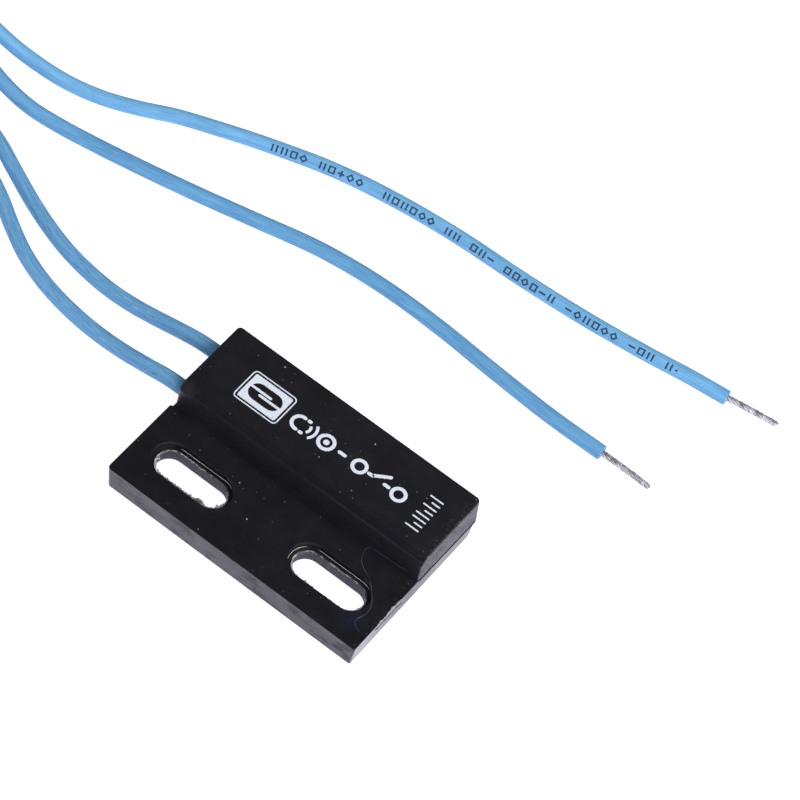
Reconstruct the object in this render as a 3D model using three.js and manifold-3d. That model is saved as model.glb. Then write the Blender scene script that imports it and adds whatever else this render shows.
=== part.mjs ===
// Flange-mount reed proximity sensor with two flying leads, in millimetres, +Z up.
// The origin is the middle of the moulded housing's underside. +X runs along the housing, away from
// the end that the leads leave, and +Y runs from the slotted flange to the raised block.
import * as THREE from 'three';
import { mergeVertices } from 'three/addons/utils/BufferGeometryUtils.js';
import Module from 'manifold-3d';

const wasm = await Module();
wasm.setup();

// Housing: a slab with two mounting slots along its front, and a raised block along its back.
const LENGTH = 28.57;
const WIDTH = 18.98;
const HEIGHT = 6.1;
const FLANGE_THICKNESS = 3.0;
const SLAB_DRAFT = 0.15;
const SLAB_CORNER_RADIUS = 0.6;
const BLOCK = { left: -14.02, right: 14.18, front: 0.08, back: 9.42 };
const BLOCK_DRAFT = { left: 0.03, right: 0.13, front: 0.14, back: 0.19 };
const BLOCK_CORNER_RADIUS = 0.45;
const BLOCK_TOP_RADIUS = 0.25;
const BLOCK_STEP_Y = -0.25;
const BLOCK_BURIED = 0.5;

// Slots: 16 mm apart, each a through slot with a wider recess above and below it.
const SLOT_SPACING = 16.0;
const SLOT_Y = -4.87;
const SLOT = { length: 7.87, width: 3.15 };
const SLOT_RECESS = { length: 8.7, width: 3.93, topDepth: 0.8, bottomDepth: 0.6 };

// The block is hollow, open at the lead end, and filled with potting resin.
const CAVITY = { right: 12.7, front: 0.95, back: 8.45, bottom: 0.95, top: 4.95 };
const POTTING_FACE_X = -13.6;
const CLEARANCE = 0.05;

// Leads: stranded wire in blue insulation.
const LEAD_DIAMETER = 1.55;
const CORE_DIAMETER = 0.75;
const CORE_BORE_DIAMETER = 0.85;
const MID_Z = 3.05;
const LEAD_1_Y = 1.95;
const LEAD_2_Y = 7.2;
const FACE_GAP = 0.3;
const BARE_LENGTH = 5.6;

// Reed switch: a sealed glass capsule with one flattened blade from each end.
const REED = { y: 2.7, centreX: 1.5, length: 12.0, radius: 1.15, bore: 0.85, sealLength: 1.4 };
const REED_LEAD_DIAMETER = 0.55;
const REED_LEAD_OUTSIDE = 3.6;
const REED_SEAL_CLEARANCE = 0.03;
const BLADE = { width: 1.2, thickness: 0.2, overlap: 1.2, contactGap: 0.26 };
const REED_STUB = 0.35;
const BLADE_ROOT_GAP = 0.05;

// Solder joints, where each core lies beside a reed lead.
const SOLDER_LENGTH = 2.0;
const SOLDER_WALL = 0.22;
const SOLDER_END_GAP = 0.15;
// Share of the length, share of the full radius.
const SOLDER_TAPER = [[0, 0.78], [0.15, 0.95], [0.375, 1], [0.625, 1], [0.85, 0.95], [1, 0.78]];

// The spare length of both leads is wound side by side into one coil, held by a tie.
const COIL = {
  x: -69.0, y: 16.0, innerRadius: 8.2, outerRadius: 9.85, pitch: 1.75,
  firstTurnZ: 1.25, entryAngle: -50, exitAngle: 58, fullTurns: 2,
};
const TIE = { width: 2.4, thickness: 0.3, angle: 200 };

// Where each lead lies: out of the block, down to the surface, and on to the coil.
const LEAD_1_TO_COIL = [
  [-13.9, 1.95, 3.05], [-16.4, 1.95, 2.94], [-18.8, 1.94, 2.46], [-21.4, 2.1, 1.75],
  [-23.9, 2.35, 1.13], [-27.0, 2.65, 0.8], [-30.0, 3.05, 0.8], [-33.1, 3.8, 0.8],
  [-36.1, 4.95, 0.8], [-39.1, 6.6, 0.8], [-42.3, 8.6, 0.8], [-45.4, 10.1, 0.8],
  [-48.7, 11.0, 0.8], [-52.4, 11.4, 0.8], [-55.5, 11.2, 0.85], [-58.3, 10.7, 0.95],
];
const LEAD_2_TO_COIL = [
  [-13.9, 7.2, 3.05], [-16.7, 7.2, 2.9], [-19.2, 7.18, 2.37], [-21.7, 7.21, 1.67],
  [-24.2, 7.23, 1.07], [-27.3, 7.23, 0.8], [-30.3, 7.46, 0.8], [-33.4, 8.03, 0.8],
  [-36.4, 8.94, 0.8], [-39.5, 10.15, 0.8], [-43.2, 11.87, 0.8], [-46.7, 13.5, 0.8],
  [-50.1, 14.5, 0.8], [-53.8, 14.6, 0.85], [-57.4, 13.5, 0.95],
];
// From the coil back across the surface to the stripped ends.
const LEAD_1_FROM_COIL = [
  [-58.6, 22.2, 5.65], [-55.2, 21.6, 4.75], [-52.0, 21.7, 3.7], [-48.9, 22.3, 2.6],
  [-45.8, 23.2, 1.65], [-42.6, 24.5, 1.0], [-39.3, 26.1, 0.8], [-36.0, 27.9, 0.8],
  [-32.6, 29.35, 0.8], [-27.1, 31.45, 0.8], [-20.2, 33.62, 0.8], [-13.2, 34.92, 0.8],
  [-6.0, 35.6, 0.8], [1.2, 35.81, 0.8], [8.4, 36.25, 0.8], [15.4, 37.03, 0.8],
  [20.5, 37.78, 0.8], [24.3, 38.2, 0.8],
];
const LEAD_2_FROM_COIL = [
  [-57.6, 19.5, 5.6], [-55.2, 18.8, 4.85], [-52.6, 18.2, 3.95], [-49.6, 17.9, 2.85],
  [-46.6, 18.1, 1.87], [-43.3, 18.85, 1.1], [-39.9, 19.58, 0.8], [-36.3, 20.23, 0.8],
  [-29.3, 21.68, 0.8], [-22.4, 23.32, 0.8], [-15.5, 24.93, 0.8], [-8.4, 25.66, 0.8],
  [-1.3, 25.55, 0.8], [5.9, 25.01, 0.8], [12.9, 24.6, 0.8], [18.7, 24.6, 0.8],
];

const material = (name, color, roughness, metalness = 0) =>
  new THREE.MeshStandardMaterial({ name, color, roughness, metalness });

const MATERIALS = {
  housing: () => material('moulded_black_plastic', 0x1f1e22, 0.5),
  potting: () => material('potting_resin', 0x101012, 0.35),
  glass: () => material('reed_glass', 0x9fc4b4, 0.08),
  reed: () => material('nickel_iron_reed', 0xb9b6ac, 0.3, 1),
  solder: () => material('solder', 0xb4b6b8, 0.35, 1),
  core: () => material('tinned_copper_strand', 0xb5b1ad, 0.35, 1),
  insulation: () => material('blue_insulation', 0x67a6d6, 0.55),
  tie: () => material('tie_white_plastic', 0xe6e6e2, 0.5),
};

// Booleans --------------------------------------------------------------------------------------

function toSolid(geometry) {
  const bare = geometry.clone();
  bare.deleteAttribute('normal');
  bare.deleteAttribute('uv');
  const merged = mergeVertices(bare, 1e-5);
  return new wasm.Manifold(new wasm.Mesh({
    numProp: 3,
    vertProperties: new Float32Array(merged.attributes.position.array),
    triVerts: new Uint32Array(merged.index.array),
  }));
}

function toGeometry(solid) {
  const mesh = solid.getMesh();
  const geometry = new THREE.BufferGeometry();
  geometry.setAttribute('position', new THREE.BufferAttribute(mesh.vertProperties, 3));
  geometry.setIndex(new THREE.BufferAttribute(mesh.triVerts, 1));
  geometry.computeVertexNormals();
  return geometry;
}

const cut = (base, cutters) => cutters.reduce((solid, cutter) => solid.subtract(toSolid(cutter)), base);

// Outlines and lofts ------------------------------------------------------------------------------

// A counter-clockwise outline through the corners, each [x, y, radius], with arcs at the corners.
function roundedOutline(corners, arcSteps) {
  const points = [];
  corners.forEach(([x, y, radius], index) => {
    const here = new THREE.Vector2(x, y);
    if (radius === 0) {
      points.push(here);
      return;
    }
    const before = new THREE.Vector2(...corners.at(index - 1));
    const after = new THREE.Vector2(...corners[(index + 1) % corners.length]);
    const toBefore = before.sub(here).normalize();
    const toAfter = after.sub(here).normalize();
    const start = here.clone().addScaledVector(toBefore, radius);
    const end = here.clone().addScaledVector(toAfter, radius);
    const arc = new THREE.QuadraticBezierCurve(start, here, end);
    points.push(...arc.getPoints(arcSteps));
  });
  return points;
}

// A slot outline with round ends, lengthwise along X.
function slotOutline(centreX, centreY, length, width, arcSteps = 10) {
  const points = [];
  for (const side of [1, -1]) {
    for (let step = 0; step <= arcSteps; step += 1) {
      const angle = Math.PI * (step / arcSteps - 0.5) + (side > 0 ? 0 : Math.PI);
      const endX = centreX + side * (length - width) / 2;
      points.push(new THREE.Vector2(
        endX + Math.cos(angle) * width / 2,
        centreY + Math.sin(angle) * width / 2,
      ));
    }
  }
  return points;
}

// A closed body through level outlines of equal point counts, from the lowest to the highest.
function loft(levels) {
  const count = levels[0].outline.length;
  const positions = levels.flatMap(({ z, outline }) => outline.flatMap((p) => [p.x, p.y, z]));
  const indices = [];
  for (let level = 0; level < levels.length - 1; level += 1) {
    for (let index = 0; index < count; index += 1) {
      const a = level * count + index;
      const b = level * count + (index + 1) % count;
      indices.push(a, b, b + count, a, b + count, a + count);
    }
  }
  const top = (levels.length - 1) * count;
  for (const [a, b, c] of THREE.ShapeUtils.triangulateShape(levels[0].outline, [])) {
    indices.push(a, c, b);
  }
  for (const [a, b, c] of THREE.ShapeUtils.triangulateShape(levels.at(-1).outline, [])) {
    indices.push(top + a, top + b, top + c);
  }
  const geometry = new THREE.BufferGeometry();
  geometry.setAttribute('position', new THREE.Float32BufferAttribute(positions, 3));
  geometry.setIndex(indices);
  return geometry;
}

// A straight round rod along X between two ends.
function rod(fromX, toX, y, z, diameter, sides = 16) {
  const geometry = new THREE.CylinderGeometry(diameter / 2, diameter / 2, toX - fromX, sides);
  return geometry.rotateZ(-Math.PI / 2).translate((fromX + toX) / 2, y, z);
}

// A box given by its lowest and highest corners.
function block(low, high) {
  const size = high.map((value, axis) => value - low[axis]);
  const geometry = new THREE.BoxGeometry(...size);
  return geometry.translate(...high.map((value, axis) => (value + low[axis]) / 2));
}

// A round rod that follows a curve through the points.
function bentRod(points, diameter, steps, sides = 8) {
  const vectors = points.map((point) => new THREE.Vector3(...point));
  const curve = new THREE.CatmullRomCurve3(vectors, false, 'centripetal');
  const section = new THREE.Shape();
  for (let side = 0; side < sides; side += 1) {
    const angle = 2 * Math.PI * side / sides;
    const x = Math.cos(angle) * diameter / 2;
    const y = Math.sin(angle) * diameter / 2;
    if (side === 0) {
      section.moveTo(x, y);
    } else {
      section.lineTo(x, y);
    }
  }
  section.closePath();
  return new THREE.ExtrudeGeometry(section, { steps, extrudePath: curve, curveSegments: 1 });
}

// Housing -----------------------------------------------------------------------------------------

function slabOutline(inset) {
  const right = LENGTH / 2 - inset;
  const back = WIDTH / 2 - inset;
  const r = SLAB_CORNER_RADIUS;
  const stepX = BLOCK.left + inset;
  return roundedOutline([
    [-right, -back, r],
    [right, -back, r],
    [right, back, r],
    [stepX, back, r],
    [stepX, BLOCK_STEP_Y, 0.15],
    [-right, BLOCK_STEP_Y, 0.1],
  ], 4);
}

function blockOutline(rise, inset) {
  const share = rise / (HEIGHT - FLANGE_THICKNESS);
  const left = BLOCK.left + BLOCK_DRAFT.left * share + inset;
  const right = BLOCK.right - BLOCK_DRAFT.right * share - inset;
  const front = BLOCK.front + BLOCK_DRAFT.front * share + inset;
  const back = BLOCK.back - BLOCK_DRAFT.back * share - inset;
  const r = BLOCK_CORNER_RADIUS;
  return roundedOutline([[left, front, r], [right, front, r], [right, back, r], [left, back, r]], 4);
}

function raisedBlock() {
  const levels = [
    { z: FLANGE_THICKNESS - BLOCK_BURIED, outline: blockOutline(0, 0) },
    { z: FLANGE_THICKNESS, outline: blockOutline(0, 0) },
  ];
  const roundSteps = 3;
  for (let step = 0; step <= roundSteps; step += 1) {
    const angle = (Math.PI / 2) * (step / roundSteps);
    const z = HEIGHT - BLOCK_TOP_RADIUS * (1 - Math.sin(angle));
    const inset = BLOCK_TOP_RADIUS * (1 - Math.cos(angle));
    levels.push({ z, outline: blockOutline(z - FLANGE_THICKNESS, inset) });
  }
  return loft(levels);
}

function slotCutters() {
  const { topDepth, bottomDepth, length, width } = SLOT_RECESS;
  const beyond = 1;
  return [-1, 1].flatMap((side) => {
    const x = side * SLOT_SPACING / 2;
    const through = slotOutline(x, SLOT_Y, SLOT.length, SLOT.width);
    const recess = slotOutline(x, SLOT_Y, length, width);
    return [
      loft([{ z: -beyond, outline: through }, { z: FLANGE_THICKNESS + beyond, outline: through }]),
      loft([
        { z: FLANGE_THICKNESS - topDepth, outline: recess },
        { z: FLANGE_THICKNESS + beyond, outline: recess },
      ]),
      loft([{ z: -beyond, outline: recess }, { z: bottomDepth, outline: recess }]),
    ];
  });
}

function housing() {
  const slab = loft([
    { z: 0, outline: slabOutline(SLAB_DRAFT) },
    { z: FLANGE_THICKNESS, outline: slabOutline(0) },
  ]);
  const cavity = block(
    [BLOCK.left - 1, CAVITY.front, CAVITY.bottom],
    [CAVITY.right, CAVITY.back, CAVITY.top],
  );
  const body = toSolid(slab).add(toSolid(raisedBlock()));
  return toGeometry(cut(body, [cavity, ...slotCutters()]));
}

// Reed switch -------------------------------------------------------------------------------------

const reedEndX = (side) => REED.centreX + side * REED.length / 2;
const sealFaceX = (side) => reedEndX(side) - side * REED.sealLength;
const stubEndX = (side) => sealFaceX(side) - side * REED_STUB;
const leadTipX = (side) => reedEndX(side) + side * REED_LEAD_OUTSIDE;

// The capsule's wall in section, from one lead hole over the outside to the other and back inside.
function reedGlass() {
  const half = REED.length / 2;
  const hole = REED_LEAD_DIAMETER / 2 + REED_SEAL_CLEARANCE;
  const sealed = half - REED.sealLength;
  const shoulder = 0.35;
  const outside = [
    [hole, -half], [0.75, -half + 0.1], [1.05, -half + 0.45], [REED.radius, -half + 0.95],
    [REED.radius, half - 0.95], [1.05, half - 0.45], [0.75, half - 0.1], [hole, half],
  ];
  const inside = [
    [hole, sealed], [REED.bore - 0.25, sealed - 0.05], [REED.bore, sealed - shoulder],
    [REED.bore, -sealed + shoulder], [REED.bore - 0.25, -sealed + 0.05], [hole, -sealed],
  ];
  const profile = [...outside, ...inside, outside[0]].map(([r, x]) => new THREE.Vector2(r, x));
  const geometry = new THREE.LatheGeometry(profile, 20);
  return geometry.rotateZ(-Math.PI / 2).translate(REED.centreX, REED.y, MID_Z);
}

function reedLead(side, extra = 0) {
  const ends = [leadTipX(side), stubEndX(side)].sort((a, b) => a - b);
  return rod(ends[0] - extra, ends[1] + extra, REED.y, MID_Z, REED_LEAD_DIAMETER + 2 * extra, 12);
}

// A flat spring blade that reaches past the middle: above it from the near end, below from the far.
function reedBlade(side) {
  const root = stubEndX(side) - side * BLADE_ROOT_GAP;
  const tip = REED.centreX - side * BLADE.overlap / 2;
  const level = -side * (BLADE.contactGap + BLADE.thickness) / 2;
  const half = BLADE.width / 2;
  const ends = [root, tip].sort((a, b) => a - b);
  return block(
    [ends[0], REED.y - half, MID_Z + level - BLADE.thickness / 2],
    [ends[1], REED.y + half, MID_Z + level + BLADE.thickness / 2],
  );
}

// Wiring inside the housing -----------------------------------------------------------------------

const NEAR_CORE_END = leadTipX(-1) + SOLDER_LENGTH + 0.5;
const FAR_CORE_TURN_X = 12.0;
const FAR_CORE_TURN_LENGTH = 3.2;
const INSULATION_1_END = leadTipX(-1) - 0.2;
const INSULATION_2_END = 8.2;
const CORE_SPACING = 0.75;

function insulation(y, endX, extra = 0) {
  const start = POTTING_FACE_X + CLEARANCE;
  if (extra > 0) {
    return rod(start - 1, endX + extra, y, MID_Z, LEAD_DIAMETER + 2 * extra);
  }
  const outer = toSolid(rod(start, endX, y, MID_Z, LEAD_DIAMETER));
  return toGeometry(cut(outer, [rod(start - 1, endX + 1, y, MID_Z, CORE_BORE_DIAMETER, 12)]));
}

// The near lead's core runs straight in beside the reed lead.
function nearCore(extra = 0) {
  const start = POTTING_FACE_X + CLEARANCE;
  return rod(start - extra, NEAR_CORE_END + extra, LEAD_1_Y, MID_Z, CORE_DIAMETER + 2 * extra, 12);
}

// The far lead's core passes the capsule, turns and comes back beside the far reed lead.
function farCore(extra = 0) {
  const start = POTTING_FACE_X + CLEARANCE;
  const backY = REED.y + CORE_SPACING;
  const endX = leadTipX(1) - SOLDER_LENGTH - 0.3 - extra;
  const points = [
    [start, LEAD_2_Y, MID_Z], [-7, LEAD_2_Y, MID_Z], [0, LEAD_2_Y, MID_Z], [6, LEAD_2_Y, MID_Z],
    [9, LEAD_2_Y, MID_Z], [10.6, LEAD_2_Y - 0.1, MID_Z], [FAR_CORE_TURN_X - 0.2, 6.3, MID_Z],
    [FAR_CORE_TURN_X, 5.1, MID_Z], [FAR_CORE_TURN_X - 0.3, 4.0, MID_Z], [11, backY + 0.03, MID_Z],
    [10, backY, MID_Z], [endX, backY, MID_Z],
  ];
  return bentRod(points, CORE_DIAMETER + 2 * extra, 46, 10);
}

// Solder wraps the last stretch of a reed lead and the core that lies beside it.
function solderJoint(side, coreY) {
  const far = leadTipX(side) - side * SOLDER_END_GAP;
  const startX = Math.min(far, far - side * SOLDER_LENGTH);
  const middleY = (REED.y + coreY) / 2;
  const fullRadius = CORE_DIAMETER / 2 + SOLDER_WALL;
  const levels = SOLDER_TAPER.map(([along, share]) => {
    const radius = fullRadius * share;
    const outline = slotOutline(0, middleY, 2 * radius + CORE_SPACING, 2 * radius, 6);
    const turned = outline.map((point) => new THREE.Vector2(point.y - middleY, point.x + middleY));
    return { z: startX + along * SOLDER_LENGTH, outline: turned.reverse() };
  });
  const body = loft(levels);
  const alongX = new THREE.Matrix4().makeBasis(
    new THREE.Vector3(0, 0, -1),
    new THREE.Vector3(0, 1, 0),
    new THREE.Vector3(1, 0, 0),
  );
  body.applyMatrix4(alongX);
  body.translate(0, 0, MID_Z);
  const core = side < 0 ? nearCore(REED_SEAL_CLEARANCE) : farCore(REED_SEAL_CLEARANCE);
  return toGeometry(cut(toSolid(body), [reedLead(side, REED_SEAL_CLEARANCE), core]));
}

// A long pocket round a reed lead and the core beside it, with the section of their solder joint.
function splicePocket(fromX, toX, coreY) {
  const width = CORE_DIAMETER + 2 * (SOLDER_WALL + CLEARANCE);
  const middleY = (REED.y + coreY) / 2;
  const section = new THREE.Shape(slotOutline(0, 0, width + CORE_SPACING, width, 6));
  const geometry = new THREE.ExtrudeGeometry(section, { depth: toX - fromX, bevelEnabled: false });
  const extrudedAlongX = new THREE.Matrix4().makeBasis(
    new THREE.Vector3(0, 1, 0),
    new THREE.Vector3(0, 0, 1),
    new THREE.Vector3(1, 0, 0),
  );
  return geometry.applyMatrix4(extrudedAlongX).translate(fromX, middleY, MID_Z);
}

// The resin fills the cavity, with a pocket round the capsule, each splice, lead and turned core.
function pottingFill() {
  const low = [POTTING_FACE_X, CAVITY.front + CLEARANCE, CAVITY.bottom + CLEARANCE];
  const high = [CAVITY.right - CLEARANCE, CAVITY.back - CLEARANCE, CAVITY.top - CLEARANCE];
  const capsuleHalf = REED.length / 2 + CLEARANCE;
  const capsule = rod(
    REED.centreX - capsuleHalf,
    REED.centreX + capsuleHalf,
    REED.y,
    MID_Z,
    2 * (REED.radius + CLEARANCE) / Math.cos(Math.PI / 20),
    20,
  );
  const turnX = FAR_CORE_TURN_X - FAR_CORE_TURN_LENGTH;
  const halfHeight = CORE_DIAMETER / 2 + SOLDER_WALL + 2 * CLEARANCE;
  const turn = block(
    [turnX, REED.y - halfHeight, MID_Z - halfHeight],
    [CAVITY.right - 4 * CLEARANCE, LEAD_2_Y + halfHeight, MID_Z + halfHeight],
  );
  const secondCore = rod(
    INSULATION_2_END, turnX + CLEARANCE, LEAD_2_Y, MID_Z, CORE_DIAMETER + 4 * CLEARANCE, 12,
  );
  return toGeometry(cut(toSolid(block(low, high)), [
    capsule,
    splicePocket(INSULATION_1_END, reedEndX(-1), LEAD_1_Y),
    splicePocket(reedEndX(1), turnX + CLEARANCE, REED.y + CORE_SPACING),
    turn,
    secondCore,
    insulation(LEAD_1_Y, INSULATION_1_END, CLEARANCE),
    insulation(LEAD_2_Y, INSULATION_2_END, CLEARANCE),
  ]));
}

// Free leads --------------------------------------------------------------------------------------

// The ring that the coil fills: both leads side by side, one turn on the next.
function coilRing() {
  const turns = COIL.fullTurns + (COIL.entryAngle - COIL.exitAngle + 360) / 360;
  const half = LEAD_DIAMETER / 2;
  const low = COIL.firstTurnZ - half;
  const high = COIL.firstTurnZ + turns * COIL.pitch + half;
  const inner = COIL.innerRadius - half;
  const outer = COIL.outerRadius + half;
  const bevel = 0.4;
  const profile = [
    [inner, low + bevel], [inner + bevel, low], [outer - bevel, low], [outer, low + bevel],
    [outer, high - bevel], [outer - bevel, high], [inner + bevel, high], [inner, high - bevel],
    [inner, low + bevel],
  ].map(([r, z]) => new THREE.Vector2(r, z));
  const geometry = new THREE.LatheGeometry(profile, 40);
  return geometry.rotateX(Math.PI / 2).translate(COIL.x, COIL.y, 0);
}

// A flat band looped round the coil's section.
function coilTie() {
  const ring = coilRing();
  ring.computeBoundingBox();
  const top = ring.boundingBox.max.z;
  const half = LEAD_DIAMETER / 2;
  const gap = 0.12;
  const inner = [COIL.innerRadius - half - gap, COIL.outerRadius + half + gap];
  const bottom = COIL.firstTurnZ - half - gap;
  const outerBand = block(
    [inner[0] - TIE.thickness, -TIE.width / 2, bottom - TIE.thickness],
    [inner[1] + TIE.thickness, TIE.width / 2, top + gap + TIE.thickness],
  );
  const hole = block([inner[0], -TIE.width, bottom], [inner[1], TIE.width, top + gap]);
  const band = toGeometry(toSolid(outerBand).subtract(toSolid(hole)));
  return band.rotateZ(THREE.MathUtils.degToRad(TIE.angle)).translate(COIL.x, COIL.y, 0);
}

// The stripped end carries on from the insulation in the direction of its last stretch.
function bareEnd(points) {
  const tip = new THREE.Vector3(...points.at(-1));
  const before = new THREE.Vector3(...points.at(-2));
  const along = tip.clone().sub(before).setZ(0).normalize();
  const droop = [0, -0.03, -0.15, -0.3];
  const bare = droop.map((z, index) => {
    const distance = FACE_GAP + (BARE_LENGTH - FACE_GAP) * index / (droop.length - 1);
    return tip.clone().addScaledVector(along, distance).setZ(tip.z + z).toArray();
  });
  return bentRod(bare, CORE_DIAMETER, 3);
}

// The assembly ------------------------------------------------------------------------------------

const sensor = new THREE.Group();

function addPart(name, geometry, makeMaterial) {
  const mesh = new THREE.Mesh(geometry, makeMaterial());
  mesh.name = name;
  sensor.add(mesh);
}

addPart('housing', housing(), MATERIALS.housing);
addPart('potting_fill', pottingFill(), MATERIALS.potting);
addPart('reed_glass', reedGlass(), MATERIALS.glass);
addPart('reed_lead_near', reedLead(-1), MATERIALS.reed);
addPart('reed_lead_far', reedLead(1), MATERIALS.reed);
addPart('reed_blade_near', reedBlade(-1), MATERIALS.reed);
addPart('reed_blade_far', reedBlade(1), MATERIALS.reed);
addPart('solder_joint_near', solderJoint(-1, LEAD_1_Y), MATERIALS.solder);
addPart('solder_joint_far', solderJoint(1, REED.y + CORE_SPACING), MATERIALS.solder);
addPart('lead_1_core', nearCore(), MATERIALS.core);
addPart('lead_2_core', farCore(), MATERIALS.core);
addPart('lead_1_insulation', insulation(LEAD_1_Y, INSULATION_1_END), MATERIALS.insulation);
addPart('lead_2_insulation', insulation(LEAD_2_Y, INSULATION_2_END), MATERIALS.insulation);
addPart('lead_1_free_near', bentRod(LEAD_1_TO_COIL, LEAD_DIAMETER, 12), MATERIALS.insulation);
addPart('lead_2_free_near', bentRod(LEAD_2_TO_COIL, LEAD_DIAMETER, 12), MATERIALS.insulation);
addPart('lead_coil', coilRing(), MATERIALS.insulation);
addPart('coil_tie', coilTie(), MATERIALS.tie);
addPart('lead_1_free_far', bentRod(LEAD_1_FROM_COIL, LEAD_DIAMETER, 24), MATERIALS.insulation);
addPart('lead_2_free_far', bentRod(LEAD_2_FROM_COIL, LEAD_DIAMETER, 22), MATERIALS.insulation);
addPart('lead_1_bare_end', bareEnd(LEAD_1_FROM_COIL), MATERIALS.core);
addPart('lead_2_bare_end', bareEnd(LEAD_2_FROM_COIL), MATERIALS.core);

export default sensor;
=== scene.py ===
import math
import random

import bmesh
import bpy
from mathutils import Matrix, Vector, noise


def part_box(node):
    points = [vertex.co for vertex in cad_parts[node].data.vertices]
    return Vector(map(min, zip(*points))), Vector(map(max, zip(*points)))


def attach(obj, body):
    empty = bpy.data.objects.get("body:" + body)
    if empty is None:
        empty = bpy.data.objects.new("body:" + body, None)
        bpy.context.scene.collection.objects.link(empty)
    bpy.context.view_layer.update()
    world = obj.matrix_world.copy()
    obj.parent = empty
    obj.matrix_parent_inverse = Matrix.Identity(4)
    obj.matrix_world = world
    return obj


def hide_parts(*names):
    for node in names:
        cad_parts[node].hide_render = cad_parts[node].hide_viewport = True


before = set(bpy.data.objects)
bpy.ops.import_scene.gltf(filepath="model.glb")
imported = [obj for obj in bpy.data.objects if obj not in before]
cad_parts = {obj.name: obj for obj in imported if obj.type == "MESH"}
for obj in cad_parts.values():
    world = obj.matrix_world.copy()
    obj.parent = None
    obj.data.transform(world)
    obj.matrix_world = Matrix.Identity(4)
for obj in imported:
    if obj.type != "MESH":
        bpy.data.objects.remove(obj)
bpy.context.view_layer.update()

# Lengths are in metres, in the CAD frame: +X along the housing, +Y to the raised block, +Z up.
MM = 0.001
BODY = "sensor"

# The camera, and the point at the height of the flange's top that it looks at.
VIEW_AZIMUTH = 22.95
VIEW_ELEVATION = 55.48
VIEW_ROLL = 16.43
VIEW_TARGET = (1.354 * MM, 14.810 * MM, 3.0 * MM)
VIEW_DISTANCE = 312.93 * MM
LENS = 149.87
SENSOR_WIDTH = 36.0

# Housing, from the CAD node's box and the driving sizes of the design.
HOUSING_LOW, HOUSING_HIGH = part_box("housing")
LENGTH = HOUSING_HIGH.x - HOUSING_LOW.x
WIDTH = HOUSING_HIGH.y - HOUSING_LOW.y
HEIGHT = HOUSING_HIGH.z
FLANGE_THICKNESS = 3.0 * MM
SLAB_DRAFT = 0.15 * MM
SLAB_EDGE_RADIUS = 0.04 * MM
SLAB_CORNERS = {
    "front_left": 0.4 * MM, "front_right": 0.15 * MM, "back_right": 0.6 * MM,
    "back_left": 0.6 * MM, "step": 0.12 * MM,
}
END_SKEW = 0.17 * MM  # how much further right the flange's right end reaches at the back than in front
BLOCK_SKEW = {"foot": 0.38 * MM, "top": 0.2 * MM}
BLOCK_LEFT = -14.02 * MM
BLOCK_RIGHT = 14.14 * MM
BLOCK_FRONT = 0.08 * MM
BLOCK_BACK = 9.42 * MM
BLOCK_DRAFT = {"left": 0.03 * MM, "right": 0.03 * MM, "front": 0.14 * MM, "back": 0.19 * MM}
BLOCK_CORNERS = {
    "front_left": 0.3 * MM, "front_right": 0.14 * MM, "back_right": 0.5 * MM, "back_left": 0.4 * MM,
}
BLOCK_TOP_RADIUS = 0.13 * MM
BLOCK_FRONT_RADIUS = 0.9 * MM
FOOT_RADIUS = 0.22 * MM
STEP_Y = -0.25 * MM
SLOT_SPACING = 16.0 * MM
SLOT_Y = -4.87 * MM
SLOT_LENGTH = 7.87 * MM
SLOT_WIDTH = 3.15 * MM
RECESS_LENGTH = 8.7 * MM
RECESS_WIDTH = 3.93 * MM
RECESS_TOP_DEPTH = 0.8 * MM
RECESS_BOTTOM_DEPTH = 0.6 * MM
SHELF_Z = FLANGE_THICKNESS - RECESS_TOP_DEPTH
SLOT_RIM_RADIUS = 0.07 * MM
SLOT_CORNER_RADIUS = 0.05 * MM
MOUTH_FRONT = 0.95 * MM
MOUTH_BACK = 8.45 * MM
MOUTH_BOTTOM = 0.95 * MM
MOUTH_TOP = 4.95 * MM
CAVITY_RIGHT = 12.7 * MM
POTTING_FACE_X = -13.6 * MM

# Leads.
LEAD_DIAMETER = 1.55 * MM
LEAD_EXITS = {1: (-14.05 * MM, 1.95 * MM, 3.05 * MM), 2: (-14.05 * MM, 7.2 * MM, 3.05 * MM)}
BARE_LENGTH = 5.6 * MM
COIL_X = -69.0 * MM
COIL_Y = 16.0 * MM
COIL_RADIUS = {1: 9.85 * MM, 2: 8.2 * MM}
COIL_PITCH = 1.75 * MM
COIL_FIRST_Z = 1.25 * MM
COIL_ENTRY_ANGLE = -50.0
COIL_EXIT_ANGLE = 58.0
COIL_FULL_TURNS = 2
COIL_POINTS_PER_TURN = 16

# Where each lead lies before and after the coil, in millimetres.
LEAD_TO_COIL = {
    1: [
        (-13.55, 1.95, 3.05), (-16.4, 1.95, 2.94), (-18.8, 1.94, 2.46), (-21.4, 2.1, 1.75),
        (-23.9, 2.35, 1.13), (-27.0, 2.65, 0.8), (-30.0, 3.05, 0.8), (-33.1, 3.8, 0.8),
        (-36.1, 4.95, 0.8), (-39.1, 6.6, 0.8), (-42.3, 8.6, 0.8), (-45.4, 10.1, 0.8),
        (-48.7, 11.0, 0.8), (-52.4, 11.4, 0.8), (-55.5, 11.2, 0.85), (-58.3, 10.7, 0.95),
    ],
    2: [
        (-13.55, 7.2, 3.05), (-16.7, 7.2, 2.9), (-19.2, 7.18, 2.37), (-21.7, 7.21, 1.67),
        (-24.2, 7.23, 1.07), (-27.3, 7.23, 0.8), (-30.3, 7.46, 0.8), (-33.4, 8.03, 0.8),
        (-36.4, 8.94, 0.8), (-39.5, 10.15, 0.8), (-43.2, 11.87, 0.8), (-46.7, 13.5, 0.8),
        (-50.1, 14.5, 0.8), (-53.8, 14.6, 0.85), (-57.4, 13.5, 0.95),
    ],
}
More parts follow.
